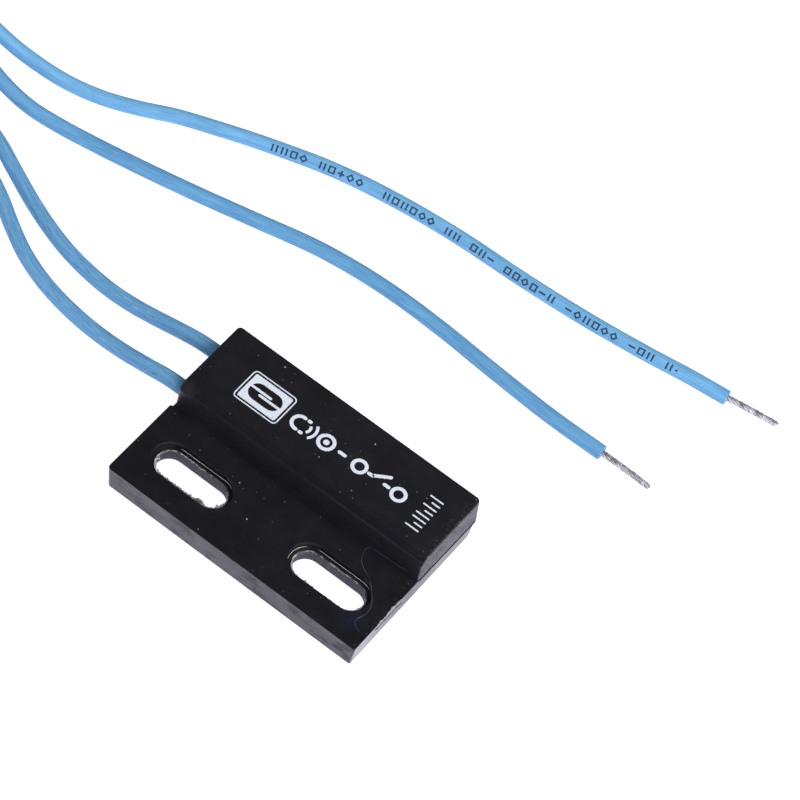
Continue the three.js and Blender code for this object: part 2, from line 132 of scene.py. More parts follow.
LEAD_FROM_COIL = {
    1: [
        (-58.6, 22.2, 5.65), (-55.2, 21.6, 4.75), (-52.0, 21.7, 3.7), (-48.9, 22.3, 2.6),
        (-45.8, 23.2, 1.65), (-42.6, 24.5, 1.0), (-39.3, 26.1, 0.8), (-36.0, 27.9, 0.8),
        (-32.6, 29.35, 0.8), (-27.1, 31.45, 0.8), (-20.2, 33.62, 0.8), (-13.2, 34.92, 0.8),
        (-6.0, 35.6, 0.8), (1.2, 35.81, 0.8), (8.4, 36.25, 0.8), (15.4, 37.03, 0.8),
        (20.5, 37.78, 0.8), (24.3, 38.2, 0.8),
    ],
    2: [
        (-61.2, 21.3, 5.95), (-57.6, 19.5, 5.6), (-55.2, 18.8, 4.85), (-52.6, 18.2, 3.95),
        (-49.6, 17.9, 2.85), (-46.6, 18.1, 1.87), (-43.3, 18.85, 1.1), (-39.9, 19.58, 0.8),
        (-36.3, 20.23, 0.8), (-29.3, 21.68, 0.8), (-22.4, 23.32, 0.8), (-15.5, 24.93, 0.8),
        (-8.4, 25.66, 0.8), (-1.3, 25.55, 0.8), (5.9, 25.01, 0.8), (12.9, 24.6, 0.8),
        (18.7, 24.6, 0.8),
    ],
}


# Objects and the camera --------------------------------------------------------------------------

def linked(name, data):
    """A new object of the data, in the scene."""
    piece = bpy.data.objects.new(name, data)
    bpy.context.scene.collection.objects.link(piece)
    return piece


def add_camera():
    data = bpy.data.cameras.new("camera")
    data.lens = LENS
    data.sensor_width = SENSOR_WIDTH
    data.clip_start = 0.01
    data.clip_end = 20.0
    camera = linked("camera", data)
    turn = (
        Matrix.Rotation(math.radians(VIEW_AZIMUTH), 4, "Z")
        @ Matrix.Rotation(math.radians(90 - VIEW_ELEVATION), 4, "X")
        @ Matrix.Rotation(math.radians(VIEW_ROLL), 4, "Z")
    )
    back = turn.to_3x3() @ Vector((0, 0, 1))
    camera.matrix_world = Matrix.Translation(Vector(VIEW_TARGET) + back * VIEW_DISTANCE) @ turn
    bpy.context.scene.camera = camera


# Meshes ------------------------------------------------------------------------------------------

def new_object(name, mesh, material, smooth_angle=None):
    """An object of the mesh, shaded smooth except at edges sharper than smooth_angle degrees."""
    piece = linked(name, mesh)
    mesh.materials.append(material)
    if smooth_angle is not None:
        mesh.shade_smooth()
        mesh.set_sharp_from_angle(angle=math.radians(smooth_angle))
    return piece


def mesh_from(name, vertices, faces):
    mesh = bpy.data.meshes.new(name)
    mesh.from_pydata([tuple(v) for v in vertices], [], faces)
    mesh.update()
    return mesh


def arc_outline(corners, steps):
    """A counter-clockwise outline through corners (x, y, radius), with a true arc at each corner."""
    points = []
    for index, (x, y, radius) in enumerate(corners):
        here = Vector((x, y))
        before = (Vector(corners[index - 1][:2]) - here).normalized()
        after = (Vector(corners[(index + 1) % len(corners)][:2]) - here).normalized()
        half = before.angle(after) / 2
        centre = here + (before + after).normalized() * radius / math.sin(half)
        start = here + before * radius / math.tan(half) - centre
        end = here + after * radius / math.tan(half) - centre
        sweep = start.angle_signed(end)
        for step in range(steps + 1):
            points.append(centre + Matrix.Rotation(-sweep * step / steps, 2) @ start)
    return points


def rounded_box(low, high, radius, grow=0.0, steps=8):
    """The outline of a rectangle with round corners, grown on all sides."""
    left, front = low[0] - grow, low[1] - grow
    right, back = high[0] + grow, high[1] + grow
    corners = ((left, front), (right, front), (right, back), (left, back))
    return arc_outline([(x, y, radius + grow) for x, y in corners], steps)


def slot_outline(centre_x, centre_y, length, width, steps=24):
    """A slot outline with round ends, lengthwise along X."""
    points = []
    for side in (1, -1):
        end_x = centre_x + side * (length - width) / 2
        for step in range(steps + 1):
            angle = math.pi * (step / steps - 0.5) + (0 if side > 0 else math.pi)
            points.append(Vector((
                end_x + math.cos(angle) * width / 2,
                centre_y + math.sin(angle) * width / 2,
            )))
    return points


def quarter(steps):
    """(1 - sin, 1 - cos) at each step of a quarter turn, to round an edge with."""
    angles = [math.pi / 2 * step / steps for step in range(steps + 1)]
    return [(1 - math.sin(angle), 1 - math.cos(angle)) for angle in angles]


def band(first, second, count):
    """Faces between two closed rings of count vertices, which start at the numbers first and second."""
    following = [*range(1, count), 0]
    return [(first + a, first + b, second + b, second + a) for a, b in enumerate(following)]


def loft(name, levels):
    """A closed mesh through level outlines (z, points) of equal counts, from the lowest up."""
    count = len(levels[0][1])
    top = (len(levels) - 1) * count
    vertices = [(p.x, p.y, z) for z, outline in levels for p in outline]
    faces = [tuple(reversed(range(count)))]
    for start in range(0, top, count):
        faces += band(start, start + count, count)
    faces.append(tuple(range(top, top + count)))
    return mesh_from(name, vertices, faces)


def turned_outward(mesh):
    """The mesh, with every face turned to point out of it."""
    turned = bmesh.new()
    turned.from_mesh(mesh)
    bmesh.ops.recalc_face_normals(turned, faces=turned.faces)
    turned.to_mesh(mesh)
    turned.free()
    return mesh


def combine(name, base_mesh, operations):
    """The base mesh after each boolean (operation, mesh) in turn, worked exactly."""
    base = linked(name, base_mesh)
    helpers = []
    for operation, mesh in operations:
        helper = linked("helper", mesh)
        modifier = base.modifiers.new("boolean", "BOOLEAN")
        modifier.operation = operation
        modifier.solver = "EXACT"
        modifier.object = helper
        helpers.append(helper)
    depsgraph = bpy.context.evaluated_depsgraph_get()
    mesh = bpy.data.meshes.new_from_object(base.evaluated_get(depsgraph))
    for helper in [base, *helpers]:
        bpy.data.objects.remove(helper)
    mesh.name = name
    return mesh


# Lines and tubes ---------------------------------------------------------------------------------

def in_metres(points):
    """Points given in millimetres."""
    return [Vector(p) * MM for p in points]


def respaced(line, spacing):
    """The line's points moved to equal steps of about the spacing."""
    run = [0.0]
    for a, b in zip(line, line[1:]):
        run.append(run[-1] + (b - a).length)
    steps = round(run[-1] / spacing)
    points = []
    at = 0
    for step in range(steps + 1):
        wanted = run[-1] * step / steps
        while at < len(run) - 2 and run[at + 1] < wanted:
            at += 1
        share = (wanted - run[at]) / (run[at + 1] - run[at])
        points.append(line[at].lerp(line[at + 1], share))
    return points


def smooth_line(points, spacing):
    """Evenly spaced points on the centripetal Catmull-Rom curve through the points."""
    through = [2 * points[0] - points[1], *points, 2 * points[-1] - points[-2]]
    dense = []
    for a, b, c, d in zip(through, through[1:], through[2:], through[3:]):
        ab, bc, cd = (math.sqrt((q - p).length) for p, q in ((a, b), (b, c), (c, d)))
        leave = ((b - a) / ab - (c - a) / (ab + bc) + (c - b) / bc) * bc
        arrive = ((c - b) / bc - (d - b) / (bc + cd) + (d - c) / cd) * bc
        steps = 24
        for step in range(steps):
            t = step / steps
            dense.append(
                b * (2 * t**3 - 3 * t**2 + 1) + leave * (t**3 - 2 * t**2 + t)
                + c * (3 * t**2 - 2 * t**3) + arrive * (t**3 - t**2)
            )
    dense.append(points[-1])
    return respaced(dense, spacing)


def tube(name, line, radius_at, sides, closing=()):
    """A closed tube along a line that never stands upright. Its UV map is turn (0 to 1, 0.25 on top)
    and metres run. radius_at(run, turn) gives the radius, and closing adds rings (step back along
    the line, radius) at the far end before the last cap."""
    rings = []
    run = 0.0
    for index, point in enumerate(line):
        run += (point - line[index - 1]).length if index else 0.0
        before, after = line[max(index - 1, 0)], line[min(index + 1, len(line) - 1)]
        rings.append((point, (after - before).normalized(), run, None))
    last_point, last_direction, last_run, _ = rings[-1]
    for back, radius in closing:
        rings.append((last_point - last_direction * back, last_direction, last_run, radius))
    vertices = []
    turns = [side / sides for side in range(sides)]
    for point, direction, run, radius in rings:
        across = Vector((0, 0, 1)).cross(direction).normalized()
        upward = direction.cross(across)
        for turn in turns:
            r = radius_at(run, turn) if radius is None else radius
            angle = 2 * math.pi * turn
            vertices.append(point + (across * math.cos(angle) + upward * math.sin(angle)) * r)
    faces = []
    uvs = []
    for ring in range(len(rings) - 1):
        low, high = rings[ring][2], rings[ring + 1][2]
        for side in range(sides):
            a = ring * sides + side
            b = ring * sides + (side + 1) % sides
            faces.append((b, a, a + sides, b + sides))
            u0, u1 = side / sides, (side + 1) / sides
            uvs.extend([(u1, low), (u0, low), (u0, high), (u1, high)])
    faces.append(tuple(range(sides)))
    end = (len(rings) - 1) * sides
    faces.append(tuple(reversed(range(end, end + sides))))
    uvs.extend([(0.5, 0.0)] * sides + [(0.5, last_run)] * sides)
    mesh = mesh_from(name, vertices, faces)
    layer = mesh.uv_layers.new(name="UVMap")
    for loop, uv in zip(layer.data, uvs):
        loop.uv = uv
    return mesh


# Materials ---------------------------------------------------------------------------------------

def worked(operation):
    return lambda value, other=0.0: value.nodes.math(operation, value, other)


class Value:
    """A node's output, to be worked with like a number."""

    def __init__(self, nodes, socket):
        self.nodes = nodes
        self.socket = socket

    __add__ = worked("ADD")
    __sub__ = worked("SUBTRACT")
    __mul__ = worked("MULTIPLY")
    __truediv__ = worked("DIVIDE")
    __mod__ = worked("FLOORED_MODULO")
    __lt__ = worked("LESS_THAN")
    __gt__ = worked("GREATER_THAN")
    __abs__ = worked("ABSOLUTE")

    def __rsub__(self, other):
        return self.nodes.math("SUBTRACT", other, self)

    def ramp(self, low, high, to_low=0.0, to_high=1.0):
        """This value mapped from low..high to to_low..to_high and held there."""
        inputs = {
            "Value": self, "From Min": low, "From Max": high, "To Min": to_low, "To Max": to_high,
        }
        return self.nodes.make("ShaderNodeMapRange", "Result", inputs)


class Nodes:
    """A material's node tree, with short calls for the nodes used here, and its colour so far."""

    def __init__(self, name):
        self.material = bpy.data.materials.new(name)
        self.material.use_nodes = True
        self.tree = self.material.node_tree
        self.colour = None

    def add(self, kind, inputs=(), **settings):
        node = self.tree.nodes.new(kind)
        for key, value in settings.items():
            setattr(node, key, value)
        for socket, value in dict(inputs).items():
            self.put(node.inputs[socket], value)
        return node

    def make(self, kind, output, inputs=(), **settings):
        """One output of a new node."""
        return Value(self, self.add(kind, inputs, **settings).outputs[output])

    def put(self, socket, value):
        if isinstance(value, Value):
            self.tree.links.new(value.socket, socket)
        elif socket.type == "RGBA":
            socket.default_value = (*value, 1.0)
        else:
            socket.default_value = value

    def place(self):
        return self.make("ShaderNodeTexCoord", "Object")

    def on_axis(self, vector, axis):
        return self.make("ShaderNodeSeparateXYZ", axis, {"Vector": vector})

    def place_on(self, axis):
        return self.on_axis(self.place(), axis)

    def facing(self, axis):
        """How far the surface faces along an axis, -1 to 1."""
        return self.on_axis(self.make("ShaderNodeTexCoord", "Normal"), axis)

    def near(self, spot, ragged):
        """1 at the spot (centre, reach), falling raggedly to 0 at its reach."""
        centre, reach = spot
        inputs = {0: self.place(), 1: centre}
        distance = self.make("ShaderNodeVectorMath", "Value", inputs, operation="DISTANCE")
        return (distance / reach + ragged.ramp(0.3, 0.7, -0.3, 0.3)).ramp(0.2, 1.0, 1.0, 0.0)

    def math(self, operation, a, b=0.0):
        return self.make("ShaderNodeMath", 0, {0: a, 1: b}, operation=operation)

    def noise(self, scale, detail=3.0, roughness=0.6, place=None):
        """Noise at the surface's place or another. Its scale is one number, or one for each axis."""
        place = place or self.place()
        if isinstance(scale, tuple):
            place = self.make("ShaderNodeVectorMath", 0, {0: place, 1: scale}, operation="MULTIPLY")
            scale = 1.0
        inputs = {"Vector": place, "Scale": scale, "Detail": detail, "Roughness": roughness}
        return self.make("ShaderNodeTexNoise", "Fac", inputs)

    def mix(self, factor, a, b):
        inputs = {"Factor": factor, "A": a, "B": b}
        return self.make("ShaderNodeMix", "Result", inputs, data_type="RGBA")

    def paint(self, mask, *shade):
        """Lays a shade over the colour so far, as far as the mask says."""
        self.colour = self.mix(mask, self.colour, shade)

    def bump(self, height, distance, strength=1.0, normal=None):
        inputs = {"Height": height, "Distance": distance, "Strength": strength}
        if normal:
            inputs["Normal"] = normal
        return self.make("ShaderNodeBump", "Normal", inputs)

    def finish(self, **values):
        """Gives the shader the colour and other values, and returns the material."""
        shader = self.tree.nodes["Principled BSDF"]
        self.put(shader.inputs["Base Color"], self.colour)
        for key, value in values.items():
            self.put(shader.inputs[key.replace("_", " ")], value)
        return self.material


# Marks of the moulding and of use. A spot is its place and how far it reaches, and a haze also how deep.
WORN_CORNER = ((-13.1 * MM, 0.2 * MM, 6.0 * MM), 1.3 * MM)
FLOW_HAZES_AND_SHEEN = (
    ((12.3 * MM, -7.3 * MM, 3.0 * MM), 1.5 * MM, 0.75),
    ((9.7 * MM, 0.2 * MM, 3.3 * MM), 1.3 * MM, 0.3),
)
BROWN_CRUMB = ((-6.0 * MM, -6.35 * MM, 2.2 * MM), 0.55 * MM)
FRONT_MARK_X = -4.7 * MM
FRONT_MARK_WIDTH = 0.1 * MM
EDGE_HIGHLIGHT_Z = HEIGHT - 0.45 * MM
LEDGE_SHADOW_Z = 2.5 * MM
CHIPPED_EDGE_Z = 2.1 * MM
CHIPPED_EDGE_Y = (-6.2 * MM, -2.1 * MM)

# Dust: cells in a metre, the share of them with a speck, the largest radius, and the colour.
DUST = (
    (420.0, 0.26, 0.085 * MM, (0.34, 0.32, 0.29)),
    (900.0, 0.24, 0.05 * MM, (0.16, 0.16, 0.17)),
)


def dust_mask(nodes, scale, share, radius):
    """Sparse specks on level faces: 1 inside a speck, 0 elsewhere."""
    cells = nodes.add(
        "ShaderNodeTexVoronoi", {"Vector": nodes.place(), "Scale": scale}, voronoi_dimensions="2D",
    )
    position, distance = (Value(nodes, cells.outputs[name]) for name in ("Position", "Distance"))
    drawn = nodes.make("ShaderNodeTexWhiteNoise", "Value", {"Vector": position})
    inside = distance < drawn * (radius * scale / share)
    return (drawn < share) * inside * nodes.facing("Z").ramp(0.9, 0.95)


def housing_material():
    nodes = Nodes("moulded_black_plastic")
    x, y, z = (nodes.place_on(axis) for axis in "XYZ")
    facing_x, facing_y, facing_z = (nodes.facing(axis) for axis in "XYZ")
    cloud = nodes.noise(260.0, 5.0)
    grain = nodes.noise(5200.0)
    mottle = nodes.noise((1500.0, 4200.0, 4200.0), 4.0, 0.7)
    streak = nodes.noise((90.0, 700.0, 1100.0))
    worn = nodes.near(WORN_CORNER, nodes.noise(1300.0, 4.0, 0.65))

    # Masks, which are highest where their names say and 0 elsewhere.
    end_face = facing_x.ramp(0.9, 0.97)
    front_face = facing_y.ramp(-0.97, -0.9, 1.0, 0.0)
    on_block = z.ramp(FLANGE_THICKNESS, FLANGE_THICKNESS + 0.1 * MM)
    soft_edge = facing_y.ramp(-0.3, -0.05, 1.0, 0.0) * facing_z.ramp(0.12, 0.25)
    dull_and_shaded = facing_z.ramp(0.9, 0.97) * on_block.ramp(0.0, 1.0, 0.25, 0.08)
    # The chip mask holds the chipped edge and the painted ledge shadow under the block's right end.
    chip = end_face * nodes.math("MAXIMUM", chipped_edge(nodes), ledge_shadow(nodes))

    nodes.colour = nodes.mix(cloud.ramp(0.35, 0.7), (0.0088, 0.0084, 0.0120), (0.0116, 0.0111, 0.0152))
    # Flow hazes: moulding marks, painted lighter and bluish, partly as painted sheen where they catch the
    # light.
    for centre, reach, depth in FLOW_HAZES_AND_SHEEN:
        nodes.paint(nodes.near((centre, reach), nodes.noise(900.0)) * depth, 0.012, 0.016, 0.040)
    nodes.paint(worn * 0.6, 0.030, 0.026, 0.026)
    # Painted shade: level faces darkened, most on the flange beside the block, which shades it.
    nodes.paint(dull_and_shaded, 0.0, 0.0, 0.0)
    # Painted highlight: a faint light line along the block's front fillet, where it reflects the floor.
    edge_highlight = abs(z - EDGE_HIGHLIGHT_Z).ramp(0.02 * MM, 0.09 * MM, 1.0, 0.0) * x.ramp(0.0, 5.0 * MM, 0.1, 0.8)
    nodes.paint(edge_highlight * soft_edge * mottle.ramp(0.4, 0.6, 0.3, 1.0), 0.026, 0.026, 0.030)
    rubbed = (nodes.noise(4200.0, 2.0) > 0.60) * x.ramp(13.2 * MM, 14.0 * MM, 0.0, 0.7)
    nodes.paint(rubbed * on_block.ramp(0.0, 1.0, 0.3, 1.0), 0.050, 0.049, 0.056)
    for scale, share, radius, shade in DUST:
        nodes.paint(dust_mask(nodes, scale, share, radius), *shade)
    # Painted reflection: the flange's right end lighter towards the front, where it reflects the pale floor.
    nodes.paint(end_face * y.ramp(-8.0 * MM, -3.5 * MM, 0.75, 0.0), 0.15, 0.148, 0.165)
    # Painted light: the block's front face lifted to a lighter shade than the rest of the plastic.
    nodes.paint(front_face * on_block * 0.6, 0.018, 0.0175, 0.0225)
    # Dark chipped edge, and painted shadow along the ledge under the block's right end.
    nodes.paint(chip * 0.9, 0.008, 0.008, 0.010)

    gloss = streak.ramp(0.3, 0.7, 0.39, 0.57) + mottle.ramp(0.3, 0.7, -0.1, 0.12)
    gloss += grain.ramp(0.35, 0.65, -0.05, 0.05)
    gloss += front_face * front_gloss(nodes, x) + end_face * end_gloss(nodes, y, grain, on_block)
    gloss *= (1.0 - dull_and_shaded) * (1.0 - soft_edge * 0.8)
    return nodes.finish(
        Roughness=cloud.ramp(0.3, 0.7, 0.28, 0.38) + worn * 0.15,
        Specular_IOR_Level=gloss * (1.0 - chip),
        Normal=nodes.bump(grain, 0.006 * MM, 0.6, nodes.bump(cloud, 0.02 * MM, 0.5)),
    )


def front_gloss(nodes, x):
    """What dull blots and the upright mark add to the front side's gloss."""
    blot = nodes.noise((560.0, 560.0, 1000.0)).ramp(0.5, 0.6, 0.02, -0.28)
    past_mark = x - FRONT_MARK_X
    mark = abs(past_mark) < FRONT_MARK_WIDTH / 2
    beside_mark = (past_mark > 0.0) * past_mark.ramp(0.0, 3.0 * MM, 0.05, 0.0)
    return blot + mark * -0.12 + beside_mark


def end_gloss(nodes, y, grain, on_block):
    """What is added to the right end's gloss: less on the block, more in front and at the back below it."""
    patch = nodes.noise((0.0, 500.0, 500.0), 2.0, 0.5)
    on_flange = y.ramp(-7.0 * MM, -3.0 * MM, 0.6, -0.2) + patch.ramp(0.3, 0.7, -0.06, 0.1)
    on_flange += y.ramp(0.5 * MM, 4.5 * MM, 0.0, 0.5)
    return grain.ramp(0.35, 0.65, -0.39, -0.23) * on_block + on_flange * (1.0 - on_block)


def chipped_edge(nodes):
    """A thin ragged line under the flange's top edge, on its right end: 1 in the line, 0 elsewhere."""
    y, z = nodes.place_on("Y"), nodes.place_on("Z")
    low_y, high_y = CHIPPED_EDGE_Y
    wander = 0.35 * MM
    middle = nodes.noise((0.0, 1100.0, 0.0)).ramp(0.3, 0.7, CHIPPED_EDGE_Z - wander, CHIPPED_EDGE_Z + wander)
    line = abs(z - middle) < nodes.noise(2300.0).ramp(0.35, 0.65, 0.08 * MM, 0.24 * MM)
    return line * (y > low_y) * (y < high_y)


def ledge_shadow(nodes):
    """A painted shadow: a dark line under the block's right end, where its foot meets the flange's edge."""
    z = nodes.place_on("Z")
    above = z.ramp(LEDGE_SHADOW_Z, LEDGE_SHADOW_Z + 0.08 * MM)
    below = z.ramp(FLANGE_THICKNESS + 0.02 * MM, FLANGE_THICKNESS + 0.08 * MM, 1.0, 0.0)
    return nodes.place_on("Y").ramp(0.0, 0.3 * MM) * above * below


def slot_wall_material():
    """The slots' walls, left rough and grey by the tool, with torn flecks at the upper edge."""
    nodes = Nodes("rough_slot_wall")
    rough = nodes.noise(1500.0, 5.0, 0.7)
    nodes.colour = nodes.mix(rough.ramp(0.42, 0.66), (0.008, 0.008, 0.012), (0.038, 0.037, 0.045))
    torn = nodes.place_on("Z").ramp(SHELF_Z - 0.6 * MM, SHELF_Z, 0.68, 0.50)
    nodes.paint((nodes.noise(2600.0, 4.0, 0.65) > torn) * 0.85, 0.34, 0.34, 0.36)
    return nodes.finish(Roughness=0.5, Specular_IOR_Level=0.36, Normal=nodes.bump(rough, 0.05 * MM, 0.9))


def from_slot_middle(nodes):
    """How far right of the nearer slot's middle a place is."""
    return (nodes.place_on("X") + SLOT_SPACING) % SLOT_SPACING - SLOT_SPACING / 2


def recess_wall_material():
    """The recesses' dull upright walls, with a painted highlight line where they meet the ledge."""
    nodes = Nodes("dull_recess_wall")
    broken = nodes.noise(700.0)
    from_middle = from_slot_middle(nodes)
    straight = from_middle.ramp(-2.8 * MM, -2.4 * MM) * from_middle.ramp(2.9 * MM, 3.5 * MM, 1.0, 0.0)
    left_arc = from_middle.ramp(-3.9 * MM, -3.6 * MM, 0.9, 0.0) * (nodes.place_on("X") > 0.0)
    line_top = SHELF_Z + SLOT_CORNER_RADIUS
    glint_line = nodes.math("MAXIMUM", straight, left_arc) * broken.ramp(0.3, 0.45, 0.55, 1.0)
    glint_line *= nodes.place_on("Z").ramp(line_top, line_top + 0.02 * MM, 1.0, 0.0)
    # Painted highlight: a light line along the foot of each recess wall.
    nodes.colour = nodes.mix(glint_line, (0.012, 0.012, 0.014), (0.62, 0.62, 0.63))
    return nodes.finish(
        Roughness=0.22,
        Specular_IOR_Level=glint_line.ramp(0.0, 1.0, 0.1, 0.5),
        Normal=nodes.bump(broken, 0.01 * MM, 0.4),
    )


def torn_plastic_material():
    """Broken and torn plastic, paler than the moulded skin, with a brownish crumb in one slot."""
    nodes = Nodes("torn_plastic")
    y = nodes.place_on("Y")
    in_slots = nodes.place_on("X") < LENGTH / 2 - 1.4 * MM  # and not on the broken edge at the right end
    rough = nodes.noise(3000.0, 4.0, 0.65)
    nodes.colour = nodes.mix(rough.ramp(0.42, 0.6), (0.075, 0.074, 0.078), (0.36, 0.355, 0.37))
    far_side = y.ramp(SLOT_Y - 0.8 * MM, SLOT_Y + 0.4 * MM, 0.0, 0.9)
    far_side *= nodes.noise(1500.0, 4.0, 0.7).ramp(0.5, 0.56, 1.0, 0.25)
    nodes.paint(far_side * in_slots, 0.03, 0.03, 0.034)
    at_arc = abs(from_slot_middle(nodes)).ramp(2.4 * MM, 3.0 * MM, 0.0, 0.85)
    at_arc *= y.ramp(SLOT_Y, SLOT_Y + 0.8 * MM, 1.0, 0.0) * rough.ramp(0.42, 0.55, 0.35, 1.0)
    nodes.paint(at_arc * in_slots, 0.62, 0.61, 0.60)
    nodes.paint(nodes.near(BROWN_CRUMB, rough) * 0.9, 0.10, 0.066, 0.045)
    return nodes.finish(Roughness=0.6, Specular_IOR_Level=0.3, Normal=nodes.bump(rough, 0.02 * MM, 0.6))


def ink_material():
    nodes = Nodes("white_marking_ink")
    worn = nodes.noise(3600.0, 4.0)
    nodes.colour = nodes.mix(worn.ramp(0.64, 0.68), (0.66, 0.70, 0.80), (0.12, 0.12, 0.14))
    return nodes.finish(Roughness=0.6, Normal=nodes.bump(worn, 0.01 * MM, 0.5))


def lead_print(nodes, run, turn, first, last, at_turn):
    """Small generic signs in a row, in words with gaps: 1 in the ink, 0 elsewhere."""
    pitch = 1.02 * MM
    height = 0.17
    stroke, half_width, half_height = 0.15, 0.37, 0.47
    cell = nodes.math("FLOOR", run / pitch)
    x = abs(nodes.math("FRACT", run / pitch) - 0.5)
    y = abs((turn - at_turn) / height)
    drawn = nodes.make("ShaderNodeTexWhiteNoise", "Value", {"W": cell}, noise_dimensions="1D")
    hollow = (x < half_width - 1.25 * stroke) * (y < half_height - 1.3 * stroke)
    ring = (x < half_width) * (y < half_height) - hollow
    cross = nodes.math("MAXIMUM", x < stroke * 0.7, y < stroke * 0.7)
    plus = cross * (x < 0.36) * (y < 0.4)
    bars = (abs(x - 0.23) < stroke * 0.65) * (y < half_height)
    slant = x + y * 0.8
    diamond = (slant < 0.44) * (slant > 0.44 - 1.6 * stroke)
    dash = (x < half_width) * (y < stroke * 0.8)
    sign = bars
    for limit, shape in ((0.14, ring), (0.38, diamond), (0.62, plus), (0.76, bars), (0.9, dash)):
        sign = nodes.mix(drawn > limit, sign, shape)
    in_word = (cell % 7.0 < 5.5) * (cell % 11.0 > 0.5)
    return sign * in_word * (run > first) * (run < last)


# The insulation's darker and lighter blue: near the housing, and past the coil on each lead.
LEAD_BLUES = {
    "near": ((0.109, 0.296, 0.540), (0.137, 0.356, 0.616)),
    1: ((0.139, 0.367, 0.638), (0.177, 0.442, 0.734)),
    2: ((0.101, 0.290, 0.530), (0.130, 0.350, 0.608)),
}


def lead_material(name, far_blues, printed=None):
    """Blue insulation, handled and duller near the housing, with painted shade on its first few millimetres
    out of the housing. far_blues are its two shades past the coil, and printed is (first run, last run,
    turn) of a row of ink signs, in metres."""
    nodes = Nodes(name)
    uv = nodes.make("ShaderNodeUVMap", "UV", uv_map="UVMap")
    turn, run = nodes.on_axis(uv, "X"), nodes.on_axis(uv, "Y")
    angle = turn * (2 * math.pi)
    cosine, sine = (nodes.math(wave, angle) for wave in ("COSINE", "SINE"))

    def skin_noise(narrow, short, detail=3.0, roughness=0.6):
        """Noise on the skin. Larger narrow and short make it finer round and along the lead."""
        inputs = {"X": cosine * narrow, "Y": sine * narrow, "Z": run * short}
        place = nodes.make("ShaderNodeCombineXYZ", "Vector", inputs)
        return nodes.noise(1.0, detail, roughness, place)

    streak = skin_noise(4.5, 190.0, 4.0)
    fine = skin_noise(7.5, 420.0, 3.0, 0.7)
    past_coil = run.ramp(80.0 * MM, 180.0 * MM)
    dark, light = (nodes.mix(past_coil, near, far) for near, far in zip(LEAD_BLUES["near"], far_blues))
    nodes.colour = nodes.mix(skin_noise(1.1, 160.0).ramp(0.35, 0.65), dark, light)
    nodes.paint(streak.ramp(0.46, 0.72, 0.0, 0.38), 0.085, 0.235, 0.42)
    nodes.paint(fine.ramp(0.5, 0.62, 0.0, 0.34), 0.065, 0.190, 0.36)
    nodes.paint(fine.ramp(0.38, 0.5, 0.34, 0.0), 0.190, 0.450, 0.68)
    handled = run.ramp(0.0, 110.0 * MM, 1.0, 0.25)
    scuff = skin_noise(5.5, 950.0, 4.0, 0.65)
    nodes.paint(scuff.ramp(0.60, 0.68, 0.0, 0.6) * handled, 0.34, 0.55, 0.68)
    dirt = skin_noise(4.2, 800.0, 4.0, 0.7)
    nodes.paint(dirt.ramp(0.58, 0.66, 0.0, 0.75) * handled, 0.050, 0.105, 0.17)
    # Painted shade: the lead darker for its first 5 mm out of the housing.
    nodes.paint(run.ramp(0.0, 5.0 * MM, 0.2, 0.0), 0.070, 0.17, 0.29)
    if printed:
        nodes.paint(lead_print(nodes, run, turn, *printed) * 0.92, 0.016, 0.036, 0.074)
    return nodes.finish(
        Roughness=streak.ramp(0.3, 0.7, 0.55, 0.68),
        Specular_IOR_Level=0.2,
        Normal=nodes.bump(streak, 0.012 * MM, 0.6, nodes.bump(fine, 0.008 * MM, 0.5)),
    )


def metal_material(name, light, dark, scale, roughness, metallic=1.0):
    """Bare metal with drawn or dull patches between two colours."""
    nodes = Nodes(name)
    patch = nodes.noise(scale, 4.0)
    nodes.colour = nodes.mix(patch.ramp(0.35, 0.65), dark, light)
    return nodes.finish(
        Metallic=metallic,
        Roughness=patch.ramp(0.3, 0.7, roughness - 0.06, roughness + 0.08),
        Normal=nodes.bump(patch, 0.004 * MM, 0.5),
    )


def potting_material():
    nodes = Nodes("potting_resin")
    wave = nodes.noise(420.0, 3.0, 0.5)
    nodes.colour = (0.006, 0.006, 0.007)
    return nodes.finish(Roughness=wave.ramp(0.3, 0.7, 0.14, 0.3), Normal=nodes.bump(wave, 0.05 * MM, 0.5))


def glass_material():
    nodes = Nodes("reed_glass")
    nodes.colour = nodes.mix(nodes.noise(300.0, 2.0, 0.5), (0.62, 0.86, 0.74), (0.74, 0.92, 0.84))
    return nodes.finish(Transmission_Weight=0.9, IOR=1.5, Roughness=0.04)


def tie_material():
    nodes = Nodes("tie_white_plastic")
    cloud = nodes.noise(700.0, 3.0, 0.5)
    nodes.colour = nodes.mix(cloud, (0.72, 0.72, 0.68), (0.80, 0.80, 0.77))
    return nodes.finish(Roughness=0.42, Subsurface_Weight=0.08, Normal=nodes.bump(cloud, 0.01 * MM, 0.5))


def flow_line_material():
    nodes = Nodes("flow_line_plastic")
    shade = nodes.noise(1100.0).ramp(0.35, 0.65)
    nodes.colour = nodes.mix(shade, (0.012, 0.013, 0.022), (0.055, 0.058, 0.085))
    return nodes.finish(Roughness=0.35)


def floor_material():
    nodes = Nodes("pale_floor")
    nodes.colour = nodes.mix(nodes.noise(6.0, 2.0, 0.5), (0.30, 0.30, 0.30), (0.32, 0.32, 0.32))
    return nodes.finish(
        Roughness=0.9,
        Specular_IOR_Level=0.1,
        Emission_Color=(0.84, 0.82, 1.0),
        Emission_Strength=1.17,
    )


# Leads -------------------------------------------------------------------------------------------

LINE_SPACING = 0.4 * MM
LEAD_SIDES = 24
BORE_RADIUS = 0.36 * MM
BORE_DEPTH = 0.7 * MM


